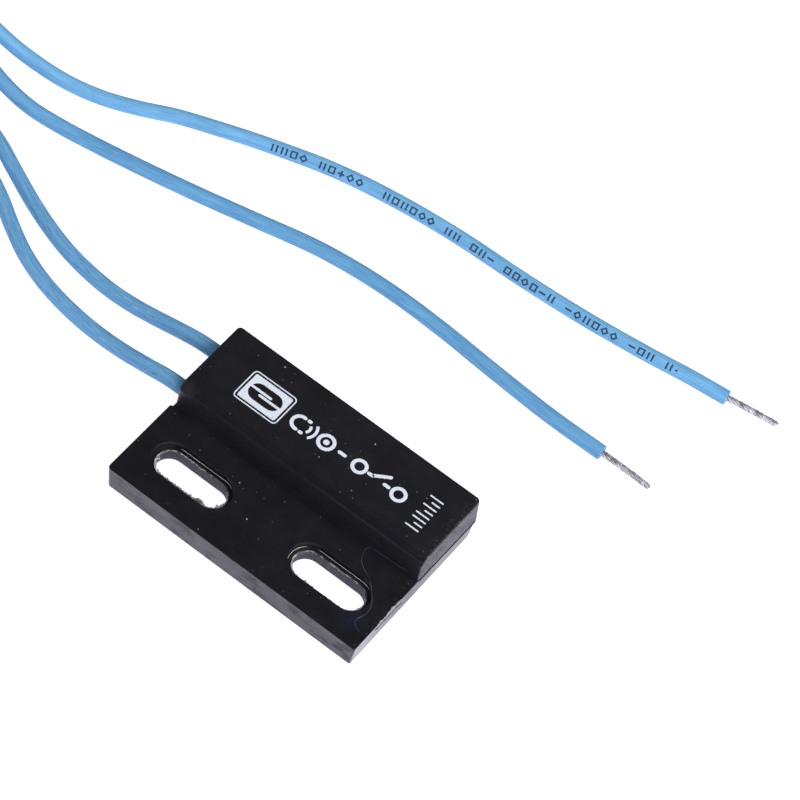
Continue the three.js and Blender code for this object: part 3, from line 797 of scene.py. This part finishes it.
def coil_points(lead):
    """The coil's turns, clockwise seen from above, each a pitch above the one before."""
    turns = COIL_FULL_TURNS + (COIL_ENTRY_ANGLE - COIL_EXIT_ANGLE + 360) / 360
    steps = math.ceil(turns * COIL_POINTS_PER_TURN)
    radius = COIL_RADIUS[lead]
    points = []
    for step in range(steps + 1):
        done = turns * step / steps
        angle = math.radians(COIL_ENTRY_ANGLE - 360 * done)
        points.append(Vector((
            COIL_X + radius * math.cos(angle),
            COIL_Y + radius * math.sin(angle),
            COIL_FIRST_Z + done * COIL_PITCH,
        )))
    return points


def add_lead(number, printed=None):
    points = in_metres(LEAD_TO_COIL[number]) + coil_points(number) + in_metres(LEAD_FROM_COIL[number])
    line = smooth_line(points, LINE_SPACING)

    def radius_at(run, turn):
        swell = noise.noise(Vector((run * 220, number * 7.0, math.sin(2 * math.pi * turn))))
        return LEAD_DIAMETER / 2 * (1 + 0.012 * swell)

    half = LEAD_DIAMETER / 2
    closing = (
        (-0.03 * MM, half - 0.05 * MM),
        (-0.03 * MM, BORE_RADIUS + 0.04 * MM),
        (0.02 * MM, BORE_RADIUS),
        (BORE_DEPTH, BORE_RADIUS),
    )
    mesh = tube(f"lead_{number}", line, radius_at, LEAD_SIDES, closing)
    material = lead_material(f"blue_insulation_{number}", LEAD_BLUES[number], printed)
    piece = new_object(f"lead_{number}", mesh, material, 50)
    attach(piece, BODY)
    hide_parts(f"lead_{number}_free_near", f"lead_{number}_free_far", "lead_coil")
    return piece, line


STRAND_DIAMETER = 0.225 * MM
STRAND_LAY = 3.3 * MM
STRAND_INSIDE = 0.5 * MM


def add_bare_end(number, line, heading, tip_drop, material):
    """Seven twisted strands that leave the insulation and loosen a little at the tip."""
    start = line[-1] - (line[-1] - line[-2]).normalized() * STRAND_INSIDE
    ahead = Vector((math.cos(heading), math.sin(heading), 0))
    across, up = Vector((-ahead.y, ahead.x, 0)), Vector((0, 0, 1))
    length = BARE_LENGTH + STRAND_INSIDE
    outer_strands, steps = 6, 70
    draw = random.Random(40 + number)
    joined = bmesh.new()
    for strand in range(outer_strands + 1):
        reach = length * (1 - draw.uniform(0.0, 0.07))
        loosen = draw.uniform(0.2, 1.0)
        points = []
        for step in range(steps + 1):
            run = reach * step / steps
            share = run / length
            spread = 1 - 0.22 * share + loosen * max(0.0, share - 0.8) * 0.8
            spread += 0.22 * noise.noise(Vector((run * 900, strand * 5.0, number * 3.0)))
            spread *= STRAND_DIAMETER if strand < outer_strands else 0.0
            angle = 2 * math.pi * (strand / outer_strands + run / STRAND_LAY)
            drop = tip_drop * share**1.7
            aside = across * spread * math.cos(angle) + up * (spread * math.sin(angle) - drop)
            points.append(start + ahead * run + aside)
        mesh = tube("strand", points, lambda run, turn: STRAND_DIAMETER / 2, 8)
        joined.from_mesh(mesh)
        bpy.data.meshes.remove(mesh)
    mesh = bpy.data.meshes.new(f"lead_{number}_strands")
    joined.to_mesh(mesh)
    joined.free()
    piece = new_object(f"lead_{number}_strands", mesh, material, 50)
    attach(piece, BODY)
    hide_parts(f"lead_{number}_bare_end")
    return piece


# Housing -----------------------------------------------------------------------------------------

def slab_outline(z, inset):
    draft = SLAB_DRAFT * (1 - z / FLANGE_THICKNESS)
    right = LENGTH / 2 - draft - inset
    back = WIDTH / 2 - draft - inset
    step_x = BLOCK_LEFT + draft + inset
    step_y = STEP_Y - inset
    return arc_outline([
        (-right, -back, SLAB_CORNERS["front_left"]),
        (right, -back, SLAB_CORNERS["front_right"]),
        (right + END_SKEW, back, SLAB_CORNERS["back_right"]),
        (step_x, back, SLAB_CORNERS["back_left"]),
        (step_x, step_y, SLAB_CORNERS["step"]),
        (-right, step_y, SLAB_CORNERS["step"]),
    ], 8)


def slab_mesh():
    """The flange and what lies under the block, with rounded lower and upper edges."""
    radius = SLAB_EDGE_RADIUS
    levels = [(radius * rise, radius * inset) for inset, rise in quarter(4)]
    levels += [(FLANGE_THICKNESS - radius * drop, radius * inset) for drop, inset in quarter(4)]
    return loft("slab", [(z, slab_outline(z, inset)) for z, inset in levels])


def block_outline(z, inset, front_inset):
    share = (z - FLANGE_THICKNESS) / (HEIGHT - FLANGE_THICKNESS)
    left = BLOCK_LEFT + BLOCK_DRAFT["left"] * share + inset
    right = BLOCK_RIGHT - BLOCK_DRAFT["right"] * share - inset
    front = BLOCK_FRONT + BLOCK_DRAFT["front"] * share + front_inset
    back = BLOCK_BACK - BLOCK_DRAFT["back"] * share - inset
    skew = BLOCK_SKEW["foot"] + (BLOCK_SKEW["top"] - BLOCK_SKEW["foot"]) * share
    return arc_outline([
        (left, front, BLOCK_CORNERS["front_left"]),
        (right + skew / 2, front, BLOCK_CORNERS["front_right"]),
        (right + skew, back, BLOCK_CORNERS["back_right"]),
        (left, back, BLOCK_CORNERS["back_left"]),
    ], 8)


def block_mesh():
    """The raised block: a concave foot in front, a soft front top edge and crisper other edges."""
    sunk = 0.4 * MM
    levels = [(FLANGE_THICKNESS - sunk, block_outline(FLANGE_THICKNESS, 0, -FOOT_RADIUS))]
    for reach, rise in quarter(4):
        z = FLANGE_THICKNESS + FOOT_RADIUS * rise
        levels.append((z, block_outline(z, 0, -FOOT_RADIUS * reach)))
    for fall, front in quarter(14):
        drop = BLOCK_FRONT_RADIUS * fall
        rise = max(0.0, BLOCK_TOP_RADIUS - drop)
        inset = BLOCK_TOP_RADIUS - math.sqrt(BLOCK_TOP_RADIUS**2 - rise**2)
        levels.append((HEIGHT - drop, block_outline(HEIGHT - drop, inset, BLOCK_FRONT_RADIUS * front)))
    return loft("block", levels)


def slot_cutter(centre_x):
    """One stepped slot with rounded rims: recess, through slot, recess."""
    def recess(grow=0.0):
        return slot_outline(centre_x, SLOT_Y, RECESS_LENGTH + 2 * grow, RECESS_WIDTH + 2 * grow)

    def through(grow=0.0):
        return slot_outline(centre_x, SLOT_Y, SLOT_LENGTH + 2 * grow, SLOT_WIDTH + 2 * grow)

    rim, corner = SLOT_RIM_RADIUS, SLOT_CORNER_RADIUS
    beyond = 1.0 * MM
    levels = [
        (-beyond, recess(rim)), (0.0, recess(rim)), (rim, recess()), (RECESS_BOTTOM_DEPTH, recess()),
        (RECESS_BOTTOM_DEPTH, through(rim)), (RECESS_BOTTOM_DEPTH + rim, through()),
    ]
    levels += [(SHELF_Z - rim * drop, through(rim * out)) for drop, out in quarter(3)]
    levels += [(SHELF_Z + corner * rise, recess(-corner * inset)) for inset, rise in quarter(3)]
    levels += [(FLANGE_THICKNESS - rim * drop, recess(rim * out)) for drop, out in quarter(3)]
    levels.append((FLANGE_THICKNESS + beyond, recess(rim)))
    return loft("slot", levels)


def cavity_cutter():
    """The potted cavity, open at the lead end with a flared mouth."""
    flare = 0.15 * MM

    def outline(grow):
        return rounded_box((MOUTH_FRONT, MOUTH_BOTTOM), (MOUTH_BACK, MOUTH_TOP), 0.35 * MM, grow, 6)

    mesh = loft("cavity", [
        (BLOCK_LEFT - 1.0 * MM, outline(flare)),
        (BLOCK_LEFT, outline(flare)),
        (BLOCK_LEFT + 0.3 * flare, outline(0.3 * flare)),
        (BLOCK_LEFT + flare, outline(0.0)),
        (CAVITY_RIGHT, outline(0.0)),
    ])
    mesh.transform(Matrix(((0, 0, 1, 0), (1, 0, 0, 0), (0, 1, 0, 0), (0, 0, 0, 1))))
    return mesh


def end_x(y):
    """Where the flange's right end stands at y."""
    return LENGTH / 2 + END_SKEW * (y / WIDTH + 0.5)


def chip_cutter():
    """A ragged wedge that breaks off the flange's right top edge."""
    low_y, high_y = CHIPPED_EDGE_Y
    steps = 60
    beyond = 0.2 * MM
    tiny = 0.001 * MM
    vertices = []
    for step in range(steps + 1):
        y = low_y + (high_y - low_y) * step / steps
        broad = noise.noise(Vector((y * 700, 2.0, 5.0)))
        jagged = noise.noise(Vector((y * 2600, 8.0, 1.0)))
        end = min(1.0, 6 * step / steps, 6 * (1 - step / steps))
        inward = end * max(0.02 * MM, (0.09 + 0.12 * broad + 0.1 * jagged) * MM)
        down = end * max(0.05 * MM, (0.5 + 0.5 * broad + 0.3 * jagged) * MM)
        top, right = FLANGE_THICKNESS, end_x(y)
        vertices += [
            (right - inward - beyond * inward / (down + tiny), y, top + beyond),
            (right + beyond, y, top + beyond),
            (right + beyond, y, top - down - beyond * down / (inward + tiny)),
        ]
    faces = [(0, 1, 2), (3 * steps + 2, 3 * steps + 1, 3 * steps)]
    for step in range(steps):
        for corner in range(3):
            a, b = 3 * step + corner, 3 * step + (corner + 1) % 3
            faces += [(a, a + 3, b + 3), (a, b + 3, b)]
    return turned_outward(mesh_from("chip", vertices, faces))


def mark_chips(mesh):
    """Gives the broken edge's facets the fourth material."""
    slack = 0.05 * MM
    low_y, high_y = CHIPPED_EDGE_Y
    for face in mesh.polygons:
        centre, normal = face.center, face.normal
        if not low_y < centre.y < high_y or centre.x < LENGTH / 2 - 0.6 * MM:
            continue
        inside = end_x(centre.y) - centre.x > slack or FLANGE_THICKNESS - centre.z > slack
        if inside and 0.05 < normal.z < 0.99 and normal.x > 0.02:
            face.material_index = 3


def mark_slots(mesh):
    """Gives the through slots' upright walls the second material, and the recesses' walls the third."""
    slack = 0.005 * MM
    for face in mesh.polygons:
        centre = face.center
        beside = abs(abs(centre.x) - SLOT_SPACING / 2)
        across = abs(centre.y - SLOT_Y)
        if beside > RECESS_LENGTH / 2 or across > RECESS_WIDTH / 2:
            continue
        if RECESS_BOTTOM_DEPTH < centre.z < SHELF_Z and abs(face.normal.z) < 0.5:
            face.material_index = 1
        elif SHELF_Z + slack < centre.z < FLANGE_THICKNESS - SLOT_RIM_RADIUS and face.normal.z < 0.99:
            face.material_index = 2


def add_housing():
    mesh = combine("housing_shell", slab_mesh(), [
        ("UNION", block_mesh()),
        ("DIFFERENCE", cavity_cutter()),
        ("DIFFERENCE", slot_cutter(-SLOT_SPACING / 2)),
        ("DIFFERENCE", slot_cutter(SLOT_SPACING / 2)),
        ("DIFFERENCE", chip_cutter()),
    ])
    mesh.materials.clear()
    piece = new_object("housing_shell", mesh, housing_material(), 30)
    for material in (slot_wall_material(), recess_wall_material(), torn_plastic_material()):
        mesh.materials.append(material)
    mark_slots(mesh)
    mark_chips(mesh)
    weighted = piece.modifiers.new("weighted_normals", "WEIGHTED_NORMAL")
    weighted.keep_sharp = True
    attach(piece, BODY)
    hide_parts("housing")
    return piece


def add_slot_flash():
    """The ragged skin that the tool left round each through slot, level with the recess's ledge."""
    thickness, root, longest = 0.05 * MM, 0.06 * MM, 0.48 * MM
    top = SHELF_Z - 0.01 * MM
    crumb_spot, crumb_reach = BROWN_CRUMB
    vertices, faces = [], []
    for centre_x in (-SLOT_SPACING / 2, SLOT_SPACING / 2):
        outline = slot_outline(centre_x, SLOT_Y, SLOT_LENGTH + 2 * root, SLOT_WIDTH + 2 * root)
        dense = respaced([p.to_3d() for p in [*outline, outline[0]]], 0.05 * MM)[:-1]
        first, count = len(vertices), len(dense)
        for index, p in enumerate(dense):
            along = (dense[(index + 1) % count] - dense[index - 1]).normalized()
            inward = Vector((-along.y, along.x, 0))
            broad = noise.noise(Vector((p.x * 500, p.y * 500, 3.0)))
            tuft = abs(noise.noise(Vector((p.x * 2400, p.y * 2400, 7.0))))
            hair = abs(noise.noise(Vector((p.x * 6000, p.y * 6000, 1.0))))
            reach = (0.06 + 0.10 * max(0.0, broad + 0.3) + 0.5 * tuft * tuft + 0.34 * hair) * MM
            if p.y > SLOT_Y:
                reach *= 0.45
            elif centre_x > 0:
                reach *= 0.5
            near_crumb = (p.to_2d() - Vector(crumb_spot[:2])).length / crumb_reach
            reach += 0.3 * MM * math.exp(-near_crumb ** 2)
            tip = p + inward * (root + min(reach, longest))
            drop = 0.05 * MM * tuft
            for corner, below in ((p, 0.0), (tip, drop), (tip, drop + 0.5 * thickness), (p, thickness)):
                vertices.append((corner.x, corner.y, top - below))
            faces += band(first + 4 * ((index + 1) % count), first + 4 * index, 4)
    mesh = turned_outward(mesh_from("slot_flash", vertices, faces))
    piece = new_object("slot_flash", mesh, torn_plastic_material())
    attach(piece, BODY)
    return piece


# Ink marks: a picture of a reed contact in a frame, a contact diagram, and a row of ticks ---------

INK_HEIGHT = 0.012 * MM
INK_BASE = HEIGHT - 0.004 * MM


class Ink:
    """Flat ink shapes on the block's top face, gathered into one mesh."""

    def __init__(self):
        self.vertices = []
        self.faces = []

    def add_outline(self, outline, z):
        self.vertices += [(p.x, p.y, z) for p in outline]

    def fill(self, outline, height=INK_HEIGHT):
        low, count = len(self.vertices), len(outline)
        high = low + count
        self.add_outline(outline, INK_BASE)
        self.add_outline(outline, INK_BASE + height)
        self.faces += [tuple(range(high, high + count)), tuple(reversed(range(low, high)))]
        self.faces += band(low, high, count)

    def line(self, start, end, width, height=INK_HEIGHT):
        """A straight stroke with round ends."""
        start, end = Vector(start), Vector(end)
        along = (end - start).normalized()
        outline = []
        for centre, turned in ((end, 0.0), (start, math.pi)):
            for step in range(9):
                angle = -math.pi / 2 + math.pi * step / 8 + turned
                outline.append(centre + Matrix.Rotation(angle, 2) @ along * width / 2)
        self.fill(outline, height)

    def arc(self, centre, radius, first, last, width):
        """A stroke along an arc, from the first to the last angle in degrees."""
        steps = 20
        angles = [math.radians(first + (last - first) * step / steps) for step in range(steps + 1)]
        outline = []
        for r, turns in ((radius + width / 2, angles), (radius - width / 2, list(reversed(angles)))):
            outline += [Vector(centre) + Vector((math.cos(a), math.sin(a))) * r for a in turns]
        self.fill(outline)

    def ring(self, outer, inner):
        """The band between two outlines of equal counts."""
        first, count = len(self.vertices), len(outer)
        top = INK_BASE + INK_HEIGHT
        for outline, z in ((outer, INK_BASE), (outer, top), (inner, top), (inner, INK_BASE)):
            self.add_outline(outline, z)
        for row in range(4):
            self.faces += band(first + row * count, first + (row + 1) % 4 * count, count)

    def frame(self, low, high, radius, width):
        self.ring(rounded_box(low, high, radius, 0.0, 6), rounded_box(low, high, radius, -width, 6))

    def circle(self, centre, radius, width):
        angles = [2 * math.pi * step / 32 for step in range(32)]
        outer, inner = (
            [Vector(centre) + Vector((math.cos(a), math.sin(a))) * r for a in angles]
            for r in (radius, radius - width)
        )
        self.ring(outer, inner)


def ink_panel(ink):
    """A framed panel with a capsule window that holds two overlapping blades."""
    low, high = Vector((-9.8, 2.65)) * MM, Vector((-4.8, 6.4)) * MM
    ink.frame(low, high, 0.45 * MM, 0.13 * MM)
    middle = (low + high) / 2
    inset = Vector((0.33, 0.33)) * MM
    window = Vector((1.78, 0.98)) * MM
    panel = rounded_box(low + inset, high - inset, 0.2 * MM)
    ink.ring(panel, rounded_box(middle - window, middle + window, 0.96 * MM))
    blade = Vector((1.84, 0.2)) * MM
    overlap = 0.5 * MM
    for side in (-1, 1):
        y = middle.y - side * blade.y
        root, tip = middle.x + side * blade.x, middle.x - side * overlap
        ink.line((root, y), (tip, y), 0.27 * MM, 0.8 * INK_HEIGHT)


def ink_signs(ink):
    """A row of signs: magnet, field arcs, target, dash, and a contact between two terminals."""
    y = 4.45 * MM
    stroke = 0.36 * MM
    size, terminal_size = 0.95 * MM, 0.85 * MM
    magnet_x, target_x, first_x, second_x = -3.2 * MM, -0.1 * MM, 3.75 * MM, 8.25 * MM
    arm_x = magnet_x + 0.55 * MM
    bow = size - stroke / 2
    ink.arc((magnet_x, y), bow, 90, 270, stroke)
    for arm_y in (y - bow, y + bow):
        ink.line((magnet_x, arm_y), (magnet_x + 0.1 * MM, arm_y), stroke, 0.8 * INK_HEIGHT)
        ink.line((arm_x, arm_y), (arm_x + 0.15 * MM, arm_y), stroke)
    for reach in (0.62 * MM, 1.25 * MM):
        ink.arc((arm_x, y), reach, -42, 42, stroke * 0.8)
    ink.circle((target_x, y), size, stroke)
    ink.circle((target_x, y), 0.3 * MM, 0.28 * MM)
    ink.line((1.45 * MM, y), (2.05 * MM, y), stroke)
    ink.circle((first_x, y), terminal_size, stroke)
    ink.line((4.85 * MM, y), (5.25 * MM, y), stroke)
    ink.line((5.35 * MM, y + 0.12 * MM), (6.65 * MM, y + 1.0 * MM), stroke)
    ink.line((6.65 * MM, y), (7.1 * MM, y), stroke)
    ink.circle((second_x, y), terminal_size, stroke)


def ink_ticks(ink):
    """A row of ticks near the block's right end."""
    last_x, first_y, spacing = 11.9 * MM, 2.5 * MM, 0.56 * MM
    long, short = 1.35 * MM, 0.8 * MM
    for step, reach in enumerate((long, short, long, long, short, long, short, long)):
        y = first_y + spacing * step
        ink.line((last_x - reach, y), (last_x, y), 0.16 * MM)


def add_ink():
    ink = Ink()
    ink_panel(ink)
    ink_signs(ink)
    ink_ticks(ink)
    mesh = turned_outward(mesh_from("ink_marks", ink.vertices, ink.faces))
    piece = new_object("ink_marks", mesh, ink_material())
    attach(piece, BODY)
    return piece


# The flow line that the plastic left on the flange and the block's foot, in millimetres -------------

FLOW_LINE = [
    (14.0, 0.3, 3.4), (12.5, 0.05, 3.3), (10.5, 0.0, 3.25), (8.8, -0.12, 3.01), (8.95, -1.3, 3.0),
    (9.7, -2.1, 3.0), (10.9, -2.7, 3.0), (11.9, -3.7, 3.0), (12.7, -4.9, 3.0), (12.8, -5.9, 3.0),
    (12.5, -6.9, 3.0), (12.9, -7.5, 3.0), (14.0, -7.7, 3.0),
]


def add_flow_line():
    """A fine raised line, level with the surface at both ends."""
    spacing = 0.12 * MM
    line = smooth_line(in_metres(FLOW_LINE), spacing)
    whole = spacing * (len(line) - 1)

    def radius_at(run, turn):
        ends = min(run, whole - run) / (1.2 * MM)
        return 0.035 * MM * min(1.0, 0.3 + ends) * (1 + 0.4 * noise.noise(Vector((run * 900, 3.0, 1.0))))

    mesh = tube("flow_line", line, radius_at, 8)
    piece = new_object("flow_line", mesh, flow_line_material(), 50)
    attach(piece, BODY)
    return piece


# Potting and tie ---------------------------------------------------------------------------------

def add_meniscus(material):
    """The resin's skin in the open mouth: it climbs at the walls and round both leads."""
    columns, rows = 75, 40
    margin, thickness = 0.02 * MM, 0.05 * MM
    front, back = MOUTH_FRONT + margin, MOUTH_BACK - margin
    bottom, top = MOUTH_BOTTOM + margin, MOUTH_TOP - margin
    centres = [Vector((y, z)) for _, y, z in LEAD_EXITS.values()]

    def height(y, z):
        to_wall = min(y - front, back - y, z - bottom, top - z)
        rise = 0.16 * MM * math.exp(-to_wall / (0.28 * MM))
        for centre in centres:
            gap = max(0.0, (Vector((y, z)) - centre).length - LEAD_DIAMETER / 2)
            rise += 0.22 * MM * math.exp(-gap / (0.3 * MM))
        return rise + 0.03 * MM * noise.noise(Vector((y, z, 0)) * 900)

    vertices = []
    for layer in (0, 1):
        for row in range(rows + 1):
            for column in range(columns + 1):
                y = front + (back - front) * column / columns
                z = bottom + (top - bottom) * row / rows
                x = POTTING_FACE_X - (height(y, z) if layer == 0 else -thickness)
                vertices.append((x, y, z))
    wide = columns + 1
    layer_size = wide * (rows + 1)
    faces = []
    for row in range(rows):
        for column in range(columns):
            a = row * wide + column
            b = a + layer_size
            faces += [(a, a + wide, a + wide + 1, a + 1), (b, b + 1, b + wide + 1, b + wide)]
    border = [
        *range(columns), *range(columns, rows * wide + columns, wide),
        *range(rows * wide + columns, rows * wide, -1), *range(rows * wide, 0, -wide),
    ]
    for a, b in zip(border, [*border[1:], border[0]]):
        faces.append((a, b, b + layer_size, a + layer_size))
    piece = new_object("potting_meniscus", mesh_from("potting_meniscus", vertices, faces), material, 40)
    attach(piece, BODY)
    return piece


def add_tie(material):
    """A strip looped round the coil's section."""
    low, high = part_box("coil_tie")
    half_lead = LEAD_DIAMETER / 2 + 0.14 * MM
    inner, outer = COIL_RADIUS[2] - half_lead, COIL_RADIUS[1] + half_lead
    bottom, top = low.z + 0.29 * MM, high.z - 0.29 * MM
    thickness, half_width, bevel = 0.27 * MM, 1.15 * MM, 0.07 * MM
    turn = Matrix.Rotation(math.radians(200), 4, "Z")
    sections = [
        (0.0, bevel - half_width), (bevel, -half_width), (thickness - bevel, -half_width),
        (thickness, bevel - half_width), (thickness, half_width - bevel), (thickness - bevel, half_width),
        (bevel, half_width), (0.0, half_width - bevel),
    ]
    vertices, faces = [], []
    for grow, across in sections:
        for p in rounded_box((inner, bottom), (outer, top), 0.7 * MM, grow):
            vertices.append(Vector((COIL_X, COIL_Y, 0)) + turn @ Vector((p.x, across, p.y)))
    count = len(vertices) // len(sections)
    for section in range(len(sections)):
        faces += band(section * count, (section + 1) % len(sections) * count, count)
    mesh = turned_outward(mesh_from("coil_tie_strip", vertices, faces))
    piece = new_object("coil_tie_strip", mesh, material, 50)
    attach(piece, BODY)
    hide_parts("coil_tie")
    return piece


# Inside pieces and surroundings ------------------------------------------------------------------

def dress_nodes(names, material):
    for name in names:
        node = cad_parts[name]
        node.data.materials.clear()
        node.data.materials.append(material)


def soft_light(name, place, size, power, colour):
    data = bpy.data.lights.new(name, "AREA")
    data.shape = "DISK"
    data.size = size
    data.energy = power
    data.color = colour
    light = linked(name, data)
    light.location = place
    light.rotation_euler = (Vector((0, 0.01, 0)) - Vector(place)).to_track_quat("-Z", "Y").to_euler()


def add_surroundings():
    """A pale floor, dark surroundings and four large soft lights."""
    corners = [(-2, -2, 0), (2, -2, 0), (2, 2, 0), (-2, 2, 0)]
    floor = new_object("floor", mesh_from("floor", corners, [(0, 1, 2, 3)]), floor_material())
    world = bpy.data.worlds.new("room")
    world.use_nodes = True
    background = world.node_tree.nodes["Background"]
    background.inputs["Color"].default_value = (0.96, 0.97, 1.0, 1.0)
    background.inputs["Strength"].default_value = 0.06
    bpy.context.scene.world = world
    soft_light("key", (0.55, 0.02, 0.40), 0.42, 1.9, (1.0, 0.99, 0.99))
    soft_light("front_right", (0.42, -0.45, 0.40), 0.42, 2.9, (1.0, 1.0, 1.0))
    soft_light("overhead", (0.35, 0.15, 0.62), 0.34, 2.4, (1.0, 1.0, 1.0))
    soft_light("left", (-0.55, -0.10, 0.36), 0.40, 1.7, (0.99, 1.0, 1.0))


# The scene ---------------------------------------------------------------------------------------

add_camera()
strand_metal = metal_material("tinned_strand", (0.58, 0.57, 0.61), (0.20, 0.19, 0.22), 1500.0, 0.42, 0.6)
lead_1, line_1 = add_lead(1, printed=(0.2584, 0.3054, 0.372))
lead_2, line_2 = add_lead(2)
strands_1 = add_bare_end(1, line_1, math.radians(11), 0.42 * MM, strand_metal)
strands_2 = add_bare_end(2, line_2, math.radians(2), 0.42 * MM, strand_metal)

add_housing()
add_slot_flash()
add_ink()
add_flow_line()
resin = potting_material()
add_meniscus(resin)
add_tie(tie_material())

dress_nodes(["potting_fill"], resin)
dress_nodes(["reed_glass"], glass_material())
dress_nodes(
    ["reed_lead_near", "reed_lead_far", "reed_blade_near", "reed_blade_far"],
    metal_material("nickel_iron", (0.56, 0.54, 0.49), (0.42, 0.40, 0.36), 1800.0, 0.3),
)
dress_nodes(
    ["solder_joint_near", "solder_joint_far"],
    metal_material("solder", (0.62, 0.63, 0.64), (0.44, 0.45, 0.46), 1200.0, 0.28),
)
dress_nodes(["lead_1_core", "lead_2_core"], strand_metal)
dress_nodes(
    ["lead_1_insulation", "lead_2_insulation"],
    lead_material("blue_insulation_inside", LEAD_BLUES["near"]),
)
add_surroundings()
bpy.context.scene.view_settings.view_transform = "Standard"
